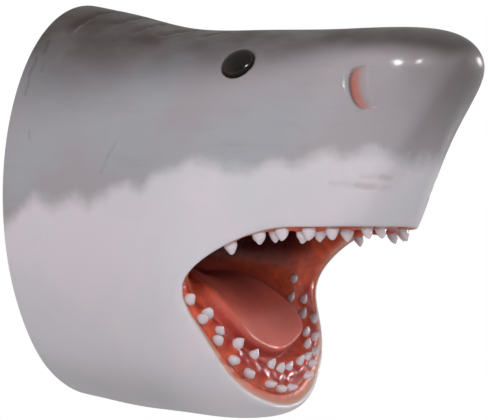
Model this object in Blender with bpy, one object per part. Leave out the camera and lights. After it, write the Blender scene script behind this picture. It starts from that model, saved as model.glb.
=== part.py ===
"""Shark head wall sculpture: one hollow resin casting with an open mouth, and two set-in eyes.

The head hangs on a wall. X runs out from the wall plane (X = 0) and Z runs up.
The head is mirrored in Y = 0.
"""

import bpy
import bmesh
import numpy as np
from mathutils import Matrix, Vector

# Driving sizes, in metres.
HEAD_DEPTH = 0.610
RIM_WIDTH = 0.464
RIM_HEIGHT = 0.582
WALL = 0.006
FLANGE_WIDTH = 0.045
FLANGE_THICKNESS = 0.009
KEYHOLE_SPACING = 0.200
KEYHOLE_INSET = 0.033
KEYHOLE_HEAD = 0.012
KEYHOLE_SLOT = 0.006
KEYHOLE_LENGTH = 0.016
TOOTH_WIDTH = 0.0178
TOOTH_HEIGHT = 0.0165
TOOTH_SINK = 0.005
TONGUE_RISE = 0.022
EYE_LENGTH = 0.042
EYE_WIDTH = 0.052
EYE_BULGE = 0.0052
EYE_SET = 0.0015
EYE_SEAT_DEPTH = 0.0035
NOSTRIL_LENGTH = 0.058
NOSTRIL_WIDTH = 0.025
NOSTRIL_DEPTH = 0.0042
FIT_GAP = 0.0003

# Angles in degrees: how far the eye's oval and the nostril's turn from lying along and across the head.
EYE_TILT = -12.0
NOSTRIL_TILT = 14.0
SHARP_EDGE = 40.0

# Numbers of faces.
AROUND = 48
BACK_SKIN_ROWS = 7
FRONT_SKIN_ROWS = 16
GUM_ROWS = 9
CAVITY_ROWS = 12
INNER_SKIN_ROWS = 11
INNER_LINING_ROWS = 5
TOOTH_SIDES = 6
EYE_SIDES = 32
KEYHOLE_SIDES = 16

# The head's form is drawn in thousandths.
# X is drawn for this depth, Y for this half width and Z for this half height.
DRAWN_DEPTH = 610.0
DRAWN_HALF_WIDTH = 232.0
DRAWN_HALF_HEIGHT = 291.0

# Each line of the skin runs from the wall rim to the lip.
# Its place on the rim is an angle from the crown, in degrees.
RIM_ANGLES = (0, 25, 50, 75, 97, 115, 132, 152, 180)
CROWN = (
    (85, 0, 264), (185, 0, 242), (300, 0, 234), (420, 0, 227),
    (545, 0, 217), (608, 0, 171), (570, 0, 78), (510, 0, -41),
)
CROWN_SIDE = (
    (85, 90, 241), (180, 84, 221), (292, 77, 214), (405, 67, 208),
    (517, 53, 201), (579, 47, 156), (556, 53, 60), (499, 55, -42),
)
EYE_LINE = (
    (85, 163, 172), (175, 153, 158), (280, 142, 158), (385, 118, 160),
    (478, 95, 158), (526, 82, 108), (512, 91, 30), (470, 98, -43),
)
SNOUT_SIDE = (
    (85, 205, 70), (170, 194, 64), (265, 184, 66), (345, 160, 70),
    (410, 139, 68), (442, 130, 38), (438, 131, 0), (420, 131, -44),
)
CHEEK = (
    (84, 213, -38), (160, 207, -42), (230, 203, -42), (285, 192, -36),
    (322, 180, -30), (342, 173, -34), (350, 168, -42), (350, 163, -52),
)
CORNER = (
    (82, 199, -130), (150, 200, -133), (205, 203, -132), (238, 205, -127),
    (255, 204, -122), (264, 203, -120), (270, 201, -119), (272, 197, -119),
)
JAW_SIDE = (
    (80, 167, -205), (143, 172, -212), (193, 177, -217), (234, 181, -214),
    (260, 183, -206), (277, 182, -199), (286, 179, -194), (286, 171, -189),
)
JAW_LOW = (
    (80, 108, -270), (140, 112, -279), (188, 115, -285), (232, 118, -288),
    (268, 121, -285), (295, 121, -277), (309, 119, -266), (306, 111, -251),
)
CHIN = (
    (80, 0, -304), (140, 0, -309), (186, 0, -312), (230, 0, -315),
    (274, 0, -315), (309, 0, -310), (326, 0, -299), (319, 0, -284),
)
SKIN_LINES = (CROWN, CROWN_SIDE, EYE_LINE, SNOUT_SIDE, CHEEK, CORNER, JAW_SIDE, JAW_LOW, CHIN)

# Each line of the mouth runs on from behind the gum towards the throat.
MOUTH_LINES = (
    ((400, 0, 8), (290, 0, 22), (190, 0, -5)),
    ((392, 40, 4), (285, 38, 18), (188, 26, -10)),
    ((372, 76, -8), (272, 74, 4), (183, 48, -22)),
    ((335, 112, -22), (255, 104, -20), (176, 66, -42)),
    ((290, 140, -50), (232, 124, -56), (168, 74, -62)),
    ((250, 152, -112), (208, 124, -102), (162, 74, -88)),
    ((274, 112, -170), (230, 88, -136), (164, 54, -108)),
    ((284, 64, -204), (240, 48, -151), (166, 30, -116)),
    ((288, 0, -219), (244, 0, -158), (167, 0, -119)),
)
THROAT = (130, 0, -72)

# The gum's section as drawn: how far in from the lip, and how far it stands out into the mouth.
GUM_IN = (8, 18, 31, 44)
GUM_OUT = (3, 13, 13, 3)
GUM_HEIGHT_SHARES = (1, 1, 1, 0.95, 0.6, 0.35, 0.8, 1, 1)
GUM_SPREAD_SHARES = (1, 1, 1, 1, 1, 1.05, 1.3, 1.4, 1.4)
GUM_ROOM = 85.0

# Station numbers along a line: the rim, halfway along the skin, the lip, behind the gum, and the throat.
RIM, MID_SKIN, LIP, BEHIND_GUM, THROAT_END = 0, 4, 8, 12, 16

# The hollow behind the skin ends at these stations. Behind the mouth's lining it lies between two others.
# It grows shorter between two lines at the side of the head.
HOLLOW_FRONT_CROWN = 7.0
HOLLOW_FRONT_CHIN = 6.0
HOLLOW_SHORTENS = (4.0, 7.0)
FIRST_HOLLOW_LINING = 12.0
LAST_HOLLOW_LINING = 15.4

# Places round the head, counted in lines from the crown: 8 is the chin, and 16 is the crown again.
LINES_ROUND = 16
CORNER_LINE = 3.0
EYE_PLACE = (1.79, 3.28)
NOSTRIL_PLACE = (2.24, 5.26)
UPPER_OUTER_TEETH = (0.0, 0.55, 1.10, 1.62, 2.08, 2.52, 2.98, 3.43, 3.82, 4.23)
UPPER_INNER_TEETH = (0.28, 0.82, 1.35, 1.85, 2.30, 2.75, 3.12, 3.60)
LOWER_OUTER_TEETH = (5.82, 6.22, 6.65, 7.10, 7.55, 8.0)
LOWER_INNER_TEETH = (5.58, 5.93, 6.30, 6.72, 7.12, 7.45, 7.78)

# Where the tooth rows stand on the gum, how far they lean to the lip, and their size beside the largest teeth.
# Lower teeth turn upwards by a share of their length, and upper ones hang down by a larger one.
LOWER_TOOTH_RISE = 0.5
UPPER_TOOTH_HANG = 1.5
UPPER_OUTER_ROW = {"station": 9.85, "lean": 0.30, "size": 0.95}
UPPER_INNER_ROW = {"station": 11.15, "lean": 0.05, "size": 1.0}
LOWER_OUTER_ROW = {"station": 9.5, "lean": 0.15, "size": 0.92}
LOWER_INNER_ROW = {"station": 11.0, "lean": 0.10, "size": 0.92}

# A tooth's section: heights as shares of the tooth, and half widths as shares of its width.
# A tooth is flatter from front to back.
TOOTH_LEVELS = ((0.42, 0.44), (0.85, 0.22))
TOOTH_FLATNESS = 0.85

# The eye's dome: heights as shares of the bulge, and half widths as shares of the oval's.
EYE_DOME = ((0.30, 0.91), (0.74, 0.66), (0.95, 0.34))

# The tongue, by station: where it rises in front, where it sinks at the throat, and where it widens.
TONGUE_TIP = (12.15, 12.9)
TONGUE_ROOT = (14.3, 15.6)
TONGUE_WIDENS = (12.4, 13.9)
TONGUE_HALF_WIDTH = 1.25
TONGUE_WIDER_BY = 0.85
TONGUE_FLAT_SHARE = 0.75

# Steps, in stations and places, over which the surface's directions are measured.
WALL_STEP = 0.01
FEATURE_STEP = 0.02


def closed_spline(points, at):
    """Points on the smooth closed curve through the given points, one unit apart from each to the next."""
    count = len(points)
    matrix = np.zeros((count, count))
    bends = np.zeros(points.shape)
    for i in range(count):
        after = (i + 1) % count
        matrix[i, i] = 4.0
        matrix[i, i - 1] = 1.0
        matrix[i, after] = 1.0
        bends[i] = 6.0 * (points[i - 1] - 2.0 * points[i] + points[after])
    second = np.linalg.solve(matrix, bends)
    first = np.floor(at).astype(int) % count
    after = (first + 1) % count
    t = (at - np.floor(at))[:, None]
    s = 1.0 - t
    straight = s * points[first] + t * points[after]
    return straight + ((s**3 - s) * second[first] + (t**3 - t) * second[after]) / 6.0


def open_spline(points, knots, at):
    """Points on the smooth open curves through the given points (first index), at the given knots."""
    count = len(points)
    matrix = np.zeros((count, count))
    matrix[0, 0] = matrix[-1, -1] = 1.0
    bends = np.zeros(points.shape)
    for i in range(1, count - 1):
        before, after = knots[i] - knots[i - 1], knots[i + 1] - knots[i]
        matrix[i, i - 1 : i + 2] = before, 2.0 * (before + after), after
        bends[i] = 6.0 * ((points[i + 1] - points[i]) / after - (points[i] - points[i - 1]) / before)
    second = np.linalg.solve(matrix, bends.reshape(count, -1)).reshape(points.shape)
    i = np.clip(np.searchsorted(knots, at, side="right") - 1, 0, count - 2)
    span = (knots[i + 1] - knots[i])[:, None, None]
    t = ((at - knots[i])[:, None, None]) / span
    s = 1.0 - t
    curve = s * points[i] + t * points[i + 1]
    return curve + span**2 * ((s**3 - s) * second[i] + (t**3 - t) * second[i + 1]) / 6.0


def whole_ring(half):
    """The closed ring of stations: crown, far side, chin, near side."""
    half = np.array(half, float)
    return np.concatenate([half, half[-2:0:-1] * (1, -1, 1)])


def shares_round(shares, across):
    """A share for each place round the head, from one share for each line."""
    shares = np.array(shares, float)
    return closed_spline(np.concatenate([shares, shares[-2:0:-1]])[:, None], across)


def unit(vectors):
    return vectors / np.linalg.norm(vectors, axis=-1, keepdims=True)


def smooth_step(value, low, high):
    t = np.clip((value - low) / (high - low), 0.0, 1.0)
    return t * t * (3.0 - 2.0 * t)


def station_rings(across):
    """The rings of stations from the rim to the throat, as drawn, at the given places round the head."""
    angles = np.radians(RIM_ANGLES)
    across_rim = DRAWN_HALF_WIDTH * np.sin(angles)
    up_rim = DRAWN_HALF_HEIGHT * np.cos(angles)
    rim = np.stack([0 * angles, across_rim, up_rim], axis=1)
    rings = [closed_spline(whole_ring(rim), across)]
    for j in range(len(CROWN)):
        rings.append(closed_spline(whole_ring([line[j] for line in SKIN_LINES]), across))
    mouth = [closed_spline(whole_ring([line[j] for line in MOUTH_LINES]), across) for j in range(3)]
    lip = rings[-1]
    lip_ring = whole_ring([line[-1] for line in SKIN_LINES])
    tangent = unit(closed_spline(lip_ring, across + WALL_STEP) - lip)
    inward = mouth[0] - lip
    inward -= (inward * tangent).sum(axis=1, keepdims=True) * tangent
    reach = np.linalg.norm(inward, axis=1, keepdims=True)
    inward /= reach
    outward = np.cross(inward, tangent)
    room = np.minimum(1.0, reach / GUM_ROOM)
    spread = room * shares_round(GUM_SPREAD_SHARES, across)
    height = shares_round(GUM_HEIGHT_SHARES, across)
    for far, high in zip(GUM_IN, GUM_OUT):
        rings.append(lip + far * spread * inward + high * height * outward)
    throat = np.tile(np.array(THROAT, float), (len(across), 1))
    return np.stack(rings + mouth + [throat])


def station_knots():
    """One parameter for each station, spaced by the root of the mean distance between rings."""
    rings = station_rings(np.arange(0, LINES_ROUND, 0.25))
    steps = np.linalg.norm(np.diff(rings, axis=0), axis=2).mean(axis=1)
    return np.concatenate([[0.0], np.cumsum(np.sqrt(steps))])


KNOTS = station_knots()


def tongue_lift(across, along):
    """How far the tongue raises the mouth's floor, as a share, by station and by place round the head."""
    off_centre = np.abs(across - LINES_ROUND / 2)[None, :]
    front = smooth_step(along, *TONGUE_TIP)[:, None]
    back = 1.0 - smooth_step(along, *TONGUE_ROOT)[:, None]
    half_width = TONGUE_HALF_WIDTH + TONGUE_WIDER_BY * smooth_step(along, *TONGUE_WIDENS)[:, None]
    side = 1.0 - smooth_step(off_centre, half_width * TONGUE_FLAT_SHARE, half_width)
    return front * back * side


def to_metres(points):
    scale = (HEAD_DEPTH / DRAWN_DEPTH, RIM_WIDTH / 2 / DRAWN_HALF_WIDTH, RIM_HEIGHT / 2 / DRAWN_HALF_HEIGHT)
    return points * scale


def normals_of(grid):
    """Unit normals, out of the material, of a grid of points that is closed round its second index."""
    round_step = np.roll(grid, -1, axis=1) - np.roll(grid, 1, axis=1)
    along_step = np.gradient(grid, axis=0)
    return unit(np.cross(along_step, round_step))


def surface(across, along):
    """The outer surface in metres, by place round the head and station along it, without the tongue."""
    across = np.asarray(across, float)
    along = np.asarray(along, float)
    at = np.interp(along, np.arange(len(KNOTS)), KNOTS)
    return to_metres(open_spline(station_rings(across), KNOTS, at))


def surface_with_tongue(across, along):
    """The outer surface in metres, with the tongue raised from the mouth's floor."""
    grid = surface(across, along)
    lift = tongue_lift(across, along)
    raised = lift.max(axis=1) > 0.0
    grid[raised] += TONGUE_RISE * lift[raised][:, :, None] * normals_of(grid)[raised]
    return grid


def rows(start, end, count):
    return np.linspace(start, end, count + 1)


def hollow_front(across):
    """The station where the hollow behind the skin ends: nearer the lips above than at the chin."""
    from_crown = LINES_ROUND / 2 - np.abs(across - LINES_ROUND / 2)
    chin_share = smooth_step(from_crown, *HOLLOW_SHORTENS)
    return HOLLOW_FRONT_CROWN + (HOLLOW_FRONT_CHIN - HOLLOW_FRONT_CROWN) * chin_share


def hollow_ring(across, along):
    """A ring one wall behind the surface, at its own station for each place round the head."""
    ring = []
    for place, station in zip(across, along):
        stations = np.clip((station - WALL_STEP, station, station + WALL_STEP), RIM, THROAT_END)
        grid = surface((place - WALL_STEP, place, place + WALL_STEP), stations)
        out = np.cross(grid[2, 1] - grid[0, 1], grid[1, 2] - grid[1, 0])
        ring.append(grid[1, 1] - WALL * unit(out))
    return np.array(ring)


def cast_grid():
    """Every ring of the casting: its outer surface, the flange, and the inside of the hollow."""
    across = np.arange(AROUND) * LINES_ROUND / AROUND
    outer = np.concatenate(
        [
            rows(RIM, MID_SKIN, BACK_SKIN_ROWS)[:-1],
            rows(MID_SKIN, LIP, FRONT_SKIN_ROWS)[:-1],
            rows(LIP, BEHIND_GUM, GUM_ROWS)[:-1],
            rows(BEHIND_GUM, THROAT_END, CAVITY_ROWS)[:-1],
        ]
    )
    skin = surface_with_tongue(across, outer)

    inside = []
    for share in rows(0.0, 1.0, INNER_SKIN_ROWS):
        inside.append(hollow_ring(across, RIM + share * (hollow_front(across) - RIM)))
    for along in rows(FIRST_HOLLOW_LINING, LAST_HOLLOW_LINING, INNER_LINING_ROWS):
        inside.append(hollow_ring(across, np.full(AROUND, along)))
    rim = skin[0]
    to_centre = -unit(rim)
    flange_back = rim + FLANGE_WIDTH * to_centre
    flange_front = flange_back + np.array((FLANGE_THICKNESS, 0.0, 0.0))
    root = rim + WALL * to_centre
    root[:, 0] = FLANGE_THICKNESS
    inside[0] = root
    return skin, flange_back, flange_front, inside


def mesh_object(name, mesh, material):
    made = bpy.data.objects.new(name, mesh)
    bpy.context.scene.collection.objects.link(made)
    made.data.materials.append(material)
    return made


def material_of(name, colour, roughness, metallic=0.0):
    made = bpy.data.materials.new(name)
    made.use_nodes = True
    shader = made.node_tree.nodes["Principled BSDF"]
    shader.inputs["Base Color"].default_value = (*colour, 1.0)
    shader.inputs["Roughness"].default_value = roughness
    shader.inputs["Metallic"].default_value = metallic
    return made


def bridge(bm, first, second):
    """Quads between two closed rings of vertices, facing out."""
    count = len(first)
    for i in range(count):
        j = (i + 1) % count
        bm.faces.new((first[i], first[j], second[j], second[i]))


def fan(bm, ring, centre, turned):
    count = len(ring)
    for i in range(count):
        j = (i + 1) % count
        corners = (ring[i], ring[j], centre)
        bm.faces.new(corners[::-1] if turned else corners)


def casting_mesh():
    skin, flange_back, flange_front, inside = cast_grid()
    bm = bmesh.new()
    rings = [*skin[::-1], flange_back, flange_front, *inside]
    verts = [[bm.verts.new(point) for point in ring] for ring in rings]
    for first, second in zip(verts[:-1], verts[1:]):
        bridge(bm, first, second)
    throat = Vector(to_metres(np.array(THROAT, float)))
    fan(bm, verts[0], bm.verts.new(throat), True)
    fan(bm, verts[-1], bm.verts.new(throat - Vector((WALL, 0.0, 0.0))), False)
    mesh = bpy.data.meshes.new("casting")
    bm.to_mesh(mesh)
    bm.free()
    return mesh


def local_frame(across, along):
    """A point of the surface, its outward normal, and its directions round the head and along the line."""
    steps = np.array((-FEATURE_STEP, 0.0, FEATURE_STEP))
    grid = surface(across + steps, along + steps)
    point = Vector(grid[1, 1])
    round_way = Vector(grid[1, 2] - grid[1, 0]).normalized()
    along_way = Vector(grid[2, 1] - grid[0, 1]).normalized()
    return point, along_way.cross(round_way).normalized(), round_way, along_way


def tooth_into(bm, across, row):
    """A blunt cone with a rounded tip on the gum. Upper teeth hang, and lower ones rise."""
    point, out, round_way, along_way = local_frame(across, row["station"])
    lower = abs(across - LINES_ROUND / 2) < CORNER_LINE
    upright = Vector((0.0, 0.0, LOWER_TOOTH_RISE if lower else -UPPER_TOOTH_HANG))
    size = row["size"]
    axis = (out + upright - row["lean"] * along_way).normalized()
    side = (round_way - round_way.dot(axis) * axis).normalized()
    other = axis.cross(side)
    levels = [(-TOOTH_SINK, 0.5)]
    levels += [(share * TOOTH_HEIGHT, half_width) for share, half_width in TOOTH_LEVELS]
    rings = []
    for height, half_width in levels:
        ring = []
        for i in range(TOOTH_SIDES):
            angle = 2.0 * np.pi * i / TOOTH_SIDES
            spread = side * np.cos(angle) + TOOTH_FLATNESS * other * np.sin(angle)
            ring.append(bm.verts.new(point + size * (height * axis + half_width * TOOTH_WIDTH * spread)))
        rings.append(ring)
    for first, second in zip(rings[:-1], rings[1:]):
        bridge(bm, first, second)
    fan(bm, rings[-1], bm.verts.new(point + size * TOOTH_HEIGHT * axis), False)
    bm.faces.new(rings[0][::-1])


def both_sides(places):
    for place in places:
        yield place
        if 0.0 < place < LINES_ROUND / 2:
            yield LINES_ROUND - place


def teeth_mesh():
    bm = bmesh.new()
    for places, row in (
        (UPPER_OUTER_TEETH, UPPER_OUTER_ROW),
        (UPPER_INNER_TEETH, UPPER_INNER_ROW),
        (LOWER_OUTER_TEETH, LOWER_OUTER_ROW),
        (LOWER_INNER_TEETH, LOWER_INNER_ROW),
    ):
        for across in both_sides(places):
            tooth_into(bm, across, row)
    mesh = bpy.data.meshes.new("teeth")
    bm.to_mesh(mesh)
    bm.free()
    return mesh


def feature_matrix(place, tilt):
    """A frame on the skin: Z out of it, X along the head and turned by the tilt."""
    point, out, round_way, along_way = local_frame(*place)
    forward = (Vector((1.0, 0.0, 0.0)) - out.x * out).normalized()
    across = out.cross(forward)
    matrix = Matrix((forward, across, out)).transposed().to_4x4()
    matrix.translation = point
    return matrix @ Matrix.Rotation(np.radians(tilt), 4, "Z")


def lens_mesh(name, length, width, bulge, depth):
    """An oval button: a domed front over straight sides and a flat back."""
    bm = bmesh.new()
    half = np.array((length / 2, width / 2))
    levels = [(-depth, 1.0), (-EYE_SET, 1.0)]
    levels += [(height * bulge, share) for height, share in EYE_DOME]
    rings = []
    for height, share in levels:
        ring = []
        for i in range(EYE_SIDES):
            angle = 2.0 * np.pi * i / EYE_SIDES
            along, across = half * share * (np.cos(angle), np.sin(angle))
            ring.append(bm.verts.new((along, across, height)))
        rings.append(ring)
    for first, second in zip(rings[:-1], rings[1:]):
        bridge(bm, first, second)
    fan(bm, rings[-1], bm.verts.new((0.0, 0.0, bulge)), False)
    bm.faces.new(rings[0][::-1])
    mesh = bpy.data.meshes.new(name)
    bm.to_mesh(mesh)
    bm.free()
    return mesh


def eye_seat_mesh():
    """The recess that an eye sits in, open well past the skin."""
    bm = bmesh.new()
    rings = []
    for height in (-EYE_SEAT_DEPTH - FIT_GAP, EYE_BULGE + WALL):
        ring = []
        for i in range(EYE_SIDES):
            angle = 2.0 * np.pi * i / EYE_SIDES
            along = (EYE_LENGTH / 2 + FIT_GAP) * np.cos(angle)
            across = (EYE_WIDTH / 2 + FIT_GAP) * np.sin(angle)
            ring.append(bm.verts.new((along, across, height)))
        rings.append(ring)
    bridge(bm, *rings)
    bm.faces.new(rings[0][::-1])
    bm.faces.new(rings[1])
    mesh = bpy.data.meshes.new("eye_seat")
    bm.to_mesh(mesh)
    bm.free()
    return mesh


def nostril_mesh():
    """A long oval hollow, deepest at its middle."""
    bm = bmesh.new()
    bmesh.ops.create_icosphere(bm, subdivisions=2, radius=1.0)
    bmesh.ops.scale(bm, vec=(NOSTRIL_WIDTH / 2, NOSTRIL_LENGTH / 2, NOSTRIL_DEPTH), verts=bm.verts)
    mesh = bpy.data.meshes.new("nostril")
    bm.to_mesh(mesh)
    bm.free()
    return mesh


def keyhole_mesh():
    """A hanging slot through the flange: a round entry with a narrow slot above it."""
    bm = bmesh.new()
    outline = []
    half_slot = KEYHOLE_SLOT / 2
    start = np.arcsin(half_slot / (KEYHOLE_HEAD / 2))
    for i in range(KEYHOLE_SIDES + 1):
        angle = np.pi / 2 + start + i * (2.0 * np.pi - 2.0 * start) / KEYHOLE_SIDES
        outline.append((KEYHOLE_HEAD / 2 * np.cos(angle), KEYHOLE_HEAD / 2 * np.sin(angle)))
    for i in range(KEYHOLE_SIDES // 2 + 1):
        angle = 2.0 * np.pi * i / KEYHOLE_SIDES
        outline.append((half_slot * np.cos(angle), KEYHOLE_LENGTH + half_slot * np.sin(angle)))
    back = [bm.verts.new((-WALL, y, z)) for y, z in outline]
    front = [bm.verts.new((FLANGE_THICKNESS + WALL, y, z)) for y, z in outline]
    bridge(bm, back, front)
    bm.faces.new(back[::-1])
    bm.faces.new(front)
    mesh = bpy.data.meshes.new("keyhole")
    bm.to_mesh(mesh)
    bm.free()
    return mesh


def keyhole_height():
    """How high the round entries lie: a set distance down from the rim's edge above them."""
    share_out = KEYHOLE_SPACING / RIM_WIDTH
    return RIM_HEIGHT / 2 * np.sqrt(1.0 - share_out**2) - KEYHOLE_INSET


def cut(body, cutter):
    cutter.hide_render = True
    cutter.display_type = "WIRE"
    modifier = body.modifiers.new("cut_" + cutter.name, "BOOLEAN")
    modifier.operation = "DIFFERENCE"
    modifier.solver = "EXACT"
    modifier.object = cutter


def add_to(body, other):
    other.hide_render = True
    other.display_type = "WIRE"
    modifier = body.modifiers.new("add_" + other.name, "BOOLEAN")
    modifier.operation = "UNION"
    modifier.solver = "EXACT"
    modifier.use_self = True
    modifier.object = other


def clear_scene():
    for old in list(bpy.data.objects):
        bpy.data.objects.remove(old)


def build():
    clear_scene()
    painted = material_of("painted_resin", (0.28, 0.27, 0.28), 0.35)
    dark = material_of("eye_black", (0.01, 0.008, 0.008), 0.08)

    head = mesh_object("shark_head", casting_mesh(), painted)
    add_to(head, mesh_object("teeth", teeth_mesh(), painted))

    seat = eye_seat_mesh()
    eye = lens_mesh("eye", EYE_LENGTH, EYE_WIDTH, EYE_BULGE, EYE_SEAT_DEPTH)
    nostril = nostril_mesh()
    for side, name in ((1, "left"), (-1, "right")):
        place = EYE_PLACE if side > 0 else (LINES_ROUND - EYE_PLACE[0], EYE_PLACE[1])
        seat_cutter = mesh_object("eye_seat_" + name, seat, painted)
        seat_cutter.matrix_world = feature_matrix(place, -side * EYE_TILT)
        cut(head, seat_cutter)
        eye_piece = mesh_object("eye_" + name, eye, dark)
        eye_piece.matrix_world = feature_matrix(place, -side * EYE_TILT)
        place = NOSTRIL_PLACE if side > 0 else (LINES_ROUND - NOSTRIL_PLACE[0], NOSTRIL_PLACE[1])
        nostril_cutter = mesh_object("nostril_" + name, nostril, painted)
        nostril_cutter.matrix_world = feature_matrix(place, -side * NOSTRIL_TILT)
        cut(head, nostril_cutter)
        keyhole = mesh_object("keyhole_" + name, keyhole_mesh(), painted)
        keyhole.location = (0.0, side * KEYHOLE_SPACING / 2, keyhole_height())
        cut(head, keyhole)

    for piece in (head, bpy.data.objects["eye_left"], bpy.data.objects["eye_right"]):
        piece.data.shade_smooth()
        piece.data.set_sharp_from_angle(angle=np.radians(SHARP_EDGE))


build()
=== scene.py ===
"""A wall-hung shark head: painted skin, open mouth, rows of teeth and glossy set-in eyes, hollow behind.

X runs out from the wall, Z runs up, and the head is mirrored in Y = 0.
"""

import math

import bmesh
import bpy
import numpy as np
from mathutils import Matrix, Vector, noise


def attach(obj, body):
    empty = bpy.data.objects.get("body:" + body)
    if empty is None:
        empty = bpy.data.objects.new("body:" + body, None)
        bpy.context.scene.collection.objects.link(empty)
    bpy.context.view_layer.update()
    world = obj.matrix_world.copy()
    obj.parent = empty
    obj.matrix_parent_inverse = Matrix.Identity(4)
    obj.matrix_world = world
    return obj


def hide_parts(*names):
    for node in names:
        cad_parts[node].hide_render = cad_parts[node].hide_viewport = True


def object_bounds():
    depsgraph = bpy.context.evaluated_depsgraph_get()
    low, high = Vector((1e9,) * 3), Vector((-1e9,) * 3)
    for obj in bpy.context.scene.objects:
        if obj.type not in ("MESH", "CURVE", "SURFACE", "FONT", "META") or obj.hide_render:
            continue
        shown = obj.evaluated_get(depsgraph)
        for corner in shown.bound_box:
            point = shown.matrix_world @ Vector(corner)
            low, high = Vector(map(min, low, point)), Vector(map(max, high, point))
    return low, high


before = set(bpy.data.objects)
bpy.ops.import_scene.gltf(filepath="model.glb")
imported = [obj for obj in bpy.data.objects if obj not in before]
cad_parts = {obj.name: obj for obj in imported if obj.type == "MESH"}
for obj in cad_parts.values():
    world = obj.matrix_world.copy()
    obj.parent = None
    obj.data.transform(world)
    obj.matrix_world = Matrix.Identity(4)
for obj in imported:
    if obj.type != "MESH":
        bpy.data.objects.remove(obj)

bl_info = {
    "name": "Shark Head Wall Sculpture",
    "version": (1, 0, 0),
    "blender": (4, 5, 0),
    "location": "3D View > Sidebar > Shark Head",
    "description": "Builds the skin, mouth, teeth, eyes and hollow back of a wall-hung shark head",
    "category": "Add Mesh",
}

HEAD_NODE = "shark_head"
EYE_NODES = {1: "eye_left", -1: "eye_right"}
EYE_SEGMENTS, EYE_ROWS = 96, 22
EYE_EDGE = (-0.0035, -0.0012)
CAD_BOX = [list(corner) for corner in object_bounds()]

# The head's form is drawn in thousandths of these sizes.
DRAWN_DEPTH = 610.0
DRAWN_HALF_WIDTH = 232.0
DRAWN_HALF_HEIGHT = 291.0

# Each line of the skin runs from the wall rim to the lip.
# Its place on the rim is an angle from the crown, in degrees.
RIM_ANGLES = (0, 25, 50, 75, 97, 115, 132, 152, 180)
CROWN = (
    (85, 0, 270), (185, 0, 243), (300, 0, 234), (420, 0, 227),
    (563, 0, 215), (608, 0, 171), (564, 0, 78), (507, 0, -47),
)
CROWN_SIDE = (
    (85, 90, 246), (180, 84, 222), (292, 77, 214), (405, 67, 208),
    (531, 57, 202), (590, 59, 156), (544, 47, 62), (496, 55, -48),
)
EYE_LINE = (
    (85, 163, 172), (175, 153, 158), (280, 142, 158), (385, 118, 160),
    (478, 95, 158), (526, 82, 108), (510, 91, 27), (470, 98, -49),
)
SNOUT_SIDE = (
    (85, 205, 70), (170, 194, 64), (265, 184, 66), (345, 160, 70),
    (410, 139, 68), (442, 130, 38), (438, 131, -3), (420, 131, -50),
)
CHEEK = (
    (84, 213, -38), (160, 207, -42), (230, 203, -42), (285, 192, -36),
    (322, 180, -30), (342, 173, -34), (351, 168, -48), (350, 163, -61),
)
CORNER = (
    (82, 199, -130), (150, 200, -133), (205, 203, -132), (238, 205, -127),
    (255, 204, -122), (264, 203, -120), (270, 201, -119), (272, 197, -119),
)
JAW_SIDE = (
    (80, 167, -205), (143, 172, -212), (193, 177, -217), (234, 181, -214),
    (260, 183, -206), (277, 182, -199), (286, 179, -194), (286, 171, -189),
)
JAW_LOW = (
    (80, 108, -270), (140, 112, -279), (188, 115, -285), (232, 118, -288),
    (268, 121, -285), (295, 121, -277), (309, 119, -266), (306, 111, -251),
)
CHIN = (
    (80, 0, -304), (140, 0, -309), (186, 0, -312), (230, 0, -315),
    (274, 0, -315), (309, 0, -310), (326, 0, -299), (319, 0, -284),
)
SKIN_LINES = (CROWN, CROWN_SIDE, EYE_LINE, SNOUT_SIDE, CHEEK, CORNER, JAW_SIDE, JAW_LOW, CHIN)

# Each line of the mouth runs on from behind the gum towards the throat.
MOUTH_LINES = (
    ((400, 0, 8), (290, 0, 22), (190, 0, -5)),
    ((392, 40, 4), (285, 38, 18), (188, 26, -10)),
    ((372, 76, -8), (272, 74, 4), (183, 48, -22)),
    ((335, 112, -22), (255, 104, -20), (176, 66, -42)),
    ((290, 140, -50), (232, 124, -56), (168, 74, -62)),
    ((250, 152, -112), (208, 124, -102), (162, 74, -88)),
    ((274, 112, -170), (230, 88, -136), (164, 54, -108)),
    ((284, 64, -204), (240, 48, -151), (166, 30, -116)),
    ((288, 0, -219), (244, 0, -158), (167, 0, -119)),
)
THROAT = (130, 0, -72)
GUM_IN = (8, 18, 31, 44)
GUM_OUT = (3, 13, 13, 3)
GUM_HEIGHT_SHARES = (1, 1, 1, 0.95, 0.45, 0.1, 0.7, 1, 1)
GUM_SPREAD_SHARES = (1, 1, 1, 1, 1, 1.05, 1.3, 1.4, 1.4)
GUM_ROOM = 85.0

# Stations along a line, and lines round the head.
RIM, LIP, SEAM, BEHIND_GUM, THROAT_END = 0.0, 8.0, 8.9, 12.0, 16.0
LINES_ROUND = 16

# Rows of the mesh: on the skin up to where the lip turns in, on the lip, on the gum and in the mouth.
LIP_START = 7.2
SKIN_ROWS, LIP_ROWS, GUM_ROWS, MOUTH_ROWS = 176, 31, 56, 64

# Points round a keyhole's entry and round its slot's end.
ENTRY_STEPS, SLOT_STEPS = 24, 12

# Where the features lie, by place round the head and station, or in metres.
EYE_PLACE = (1.79, 3.28)
NOSTRIL_PLACE = (2.24, 5.26)
NOSTRIL_LEAD = 0.004
SNOUT_BUMP = (0.555, 0.071, 0.165)
SNOUT_TIP = (0.600, 0.0, 0.165)

# The tongue, by station: where it rises in front, where it sinks at the throat, and where it widens.
TONGUE_TIP = (12.15, 12.9)
TONGUE_ROOT = (14.3, 15.6)
TONGUE_WIDENS = (12.1, 13.3)
TONGUE_MIDDLE = 8.40
TONGUE_HALF_WIDTH = 1.42
TONGUE_WIDER_BY = 1.20

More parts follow.
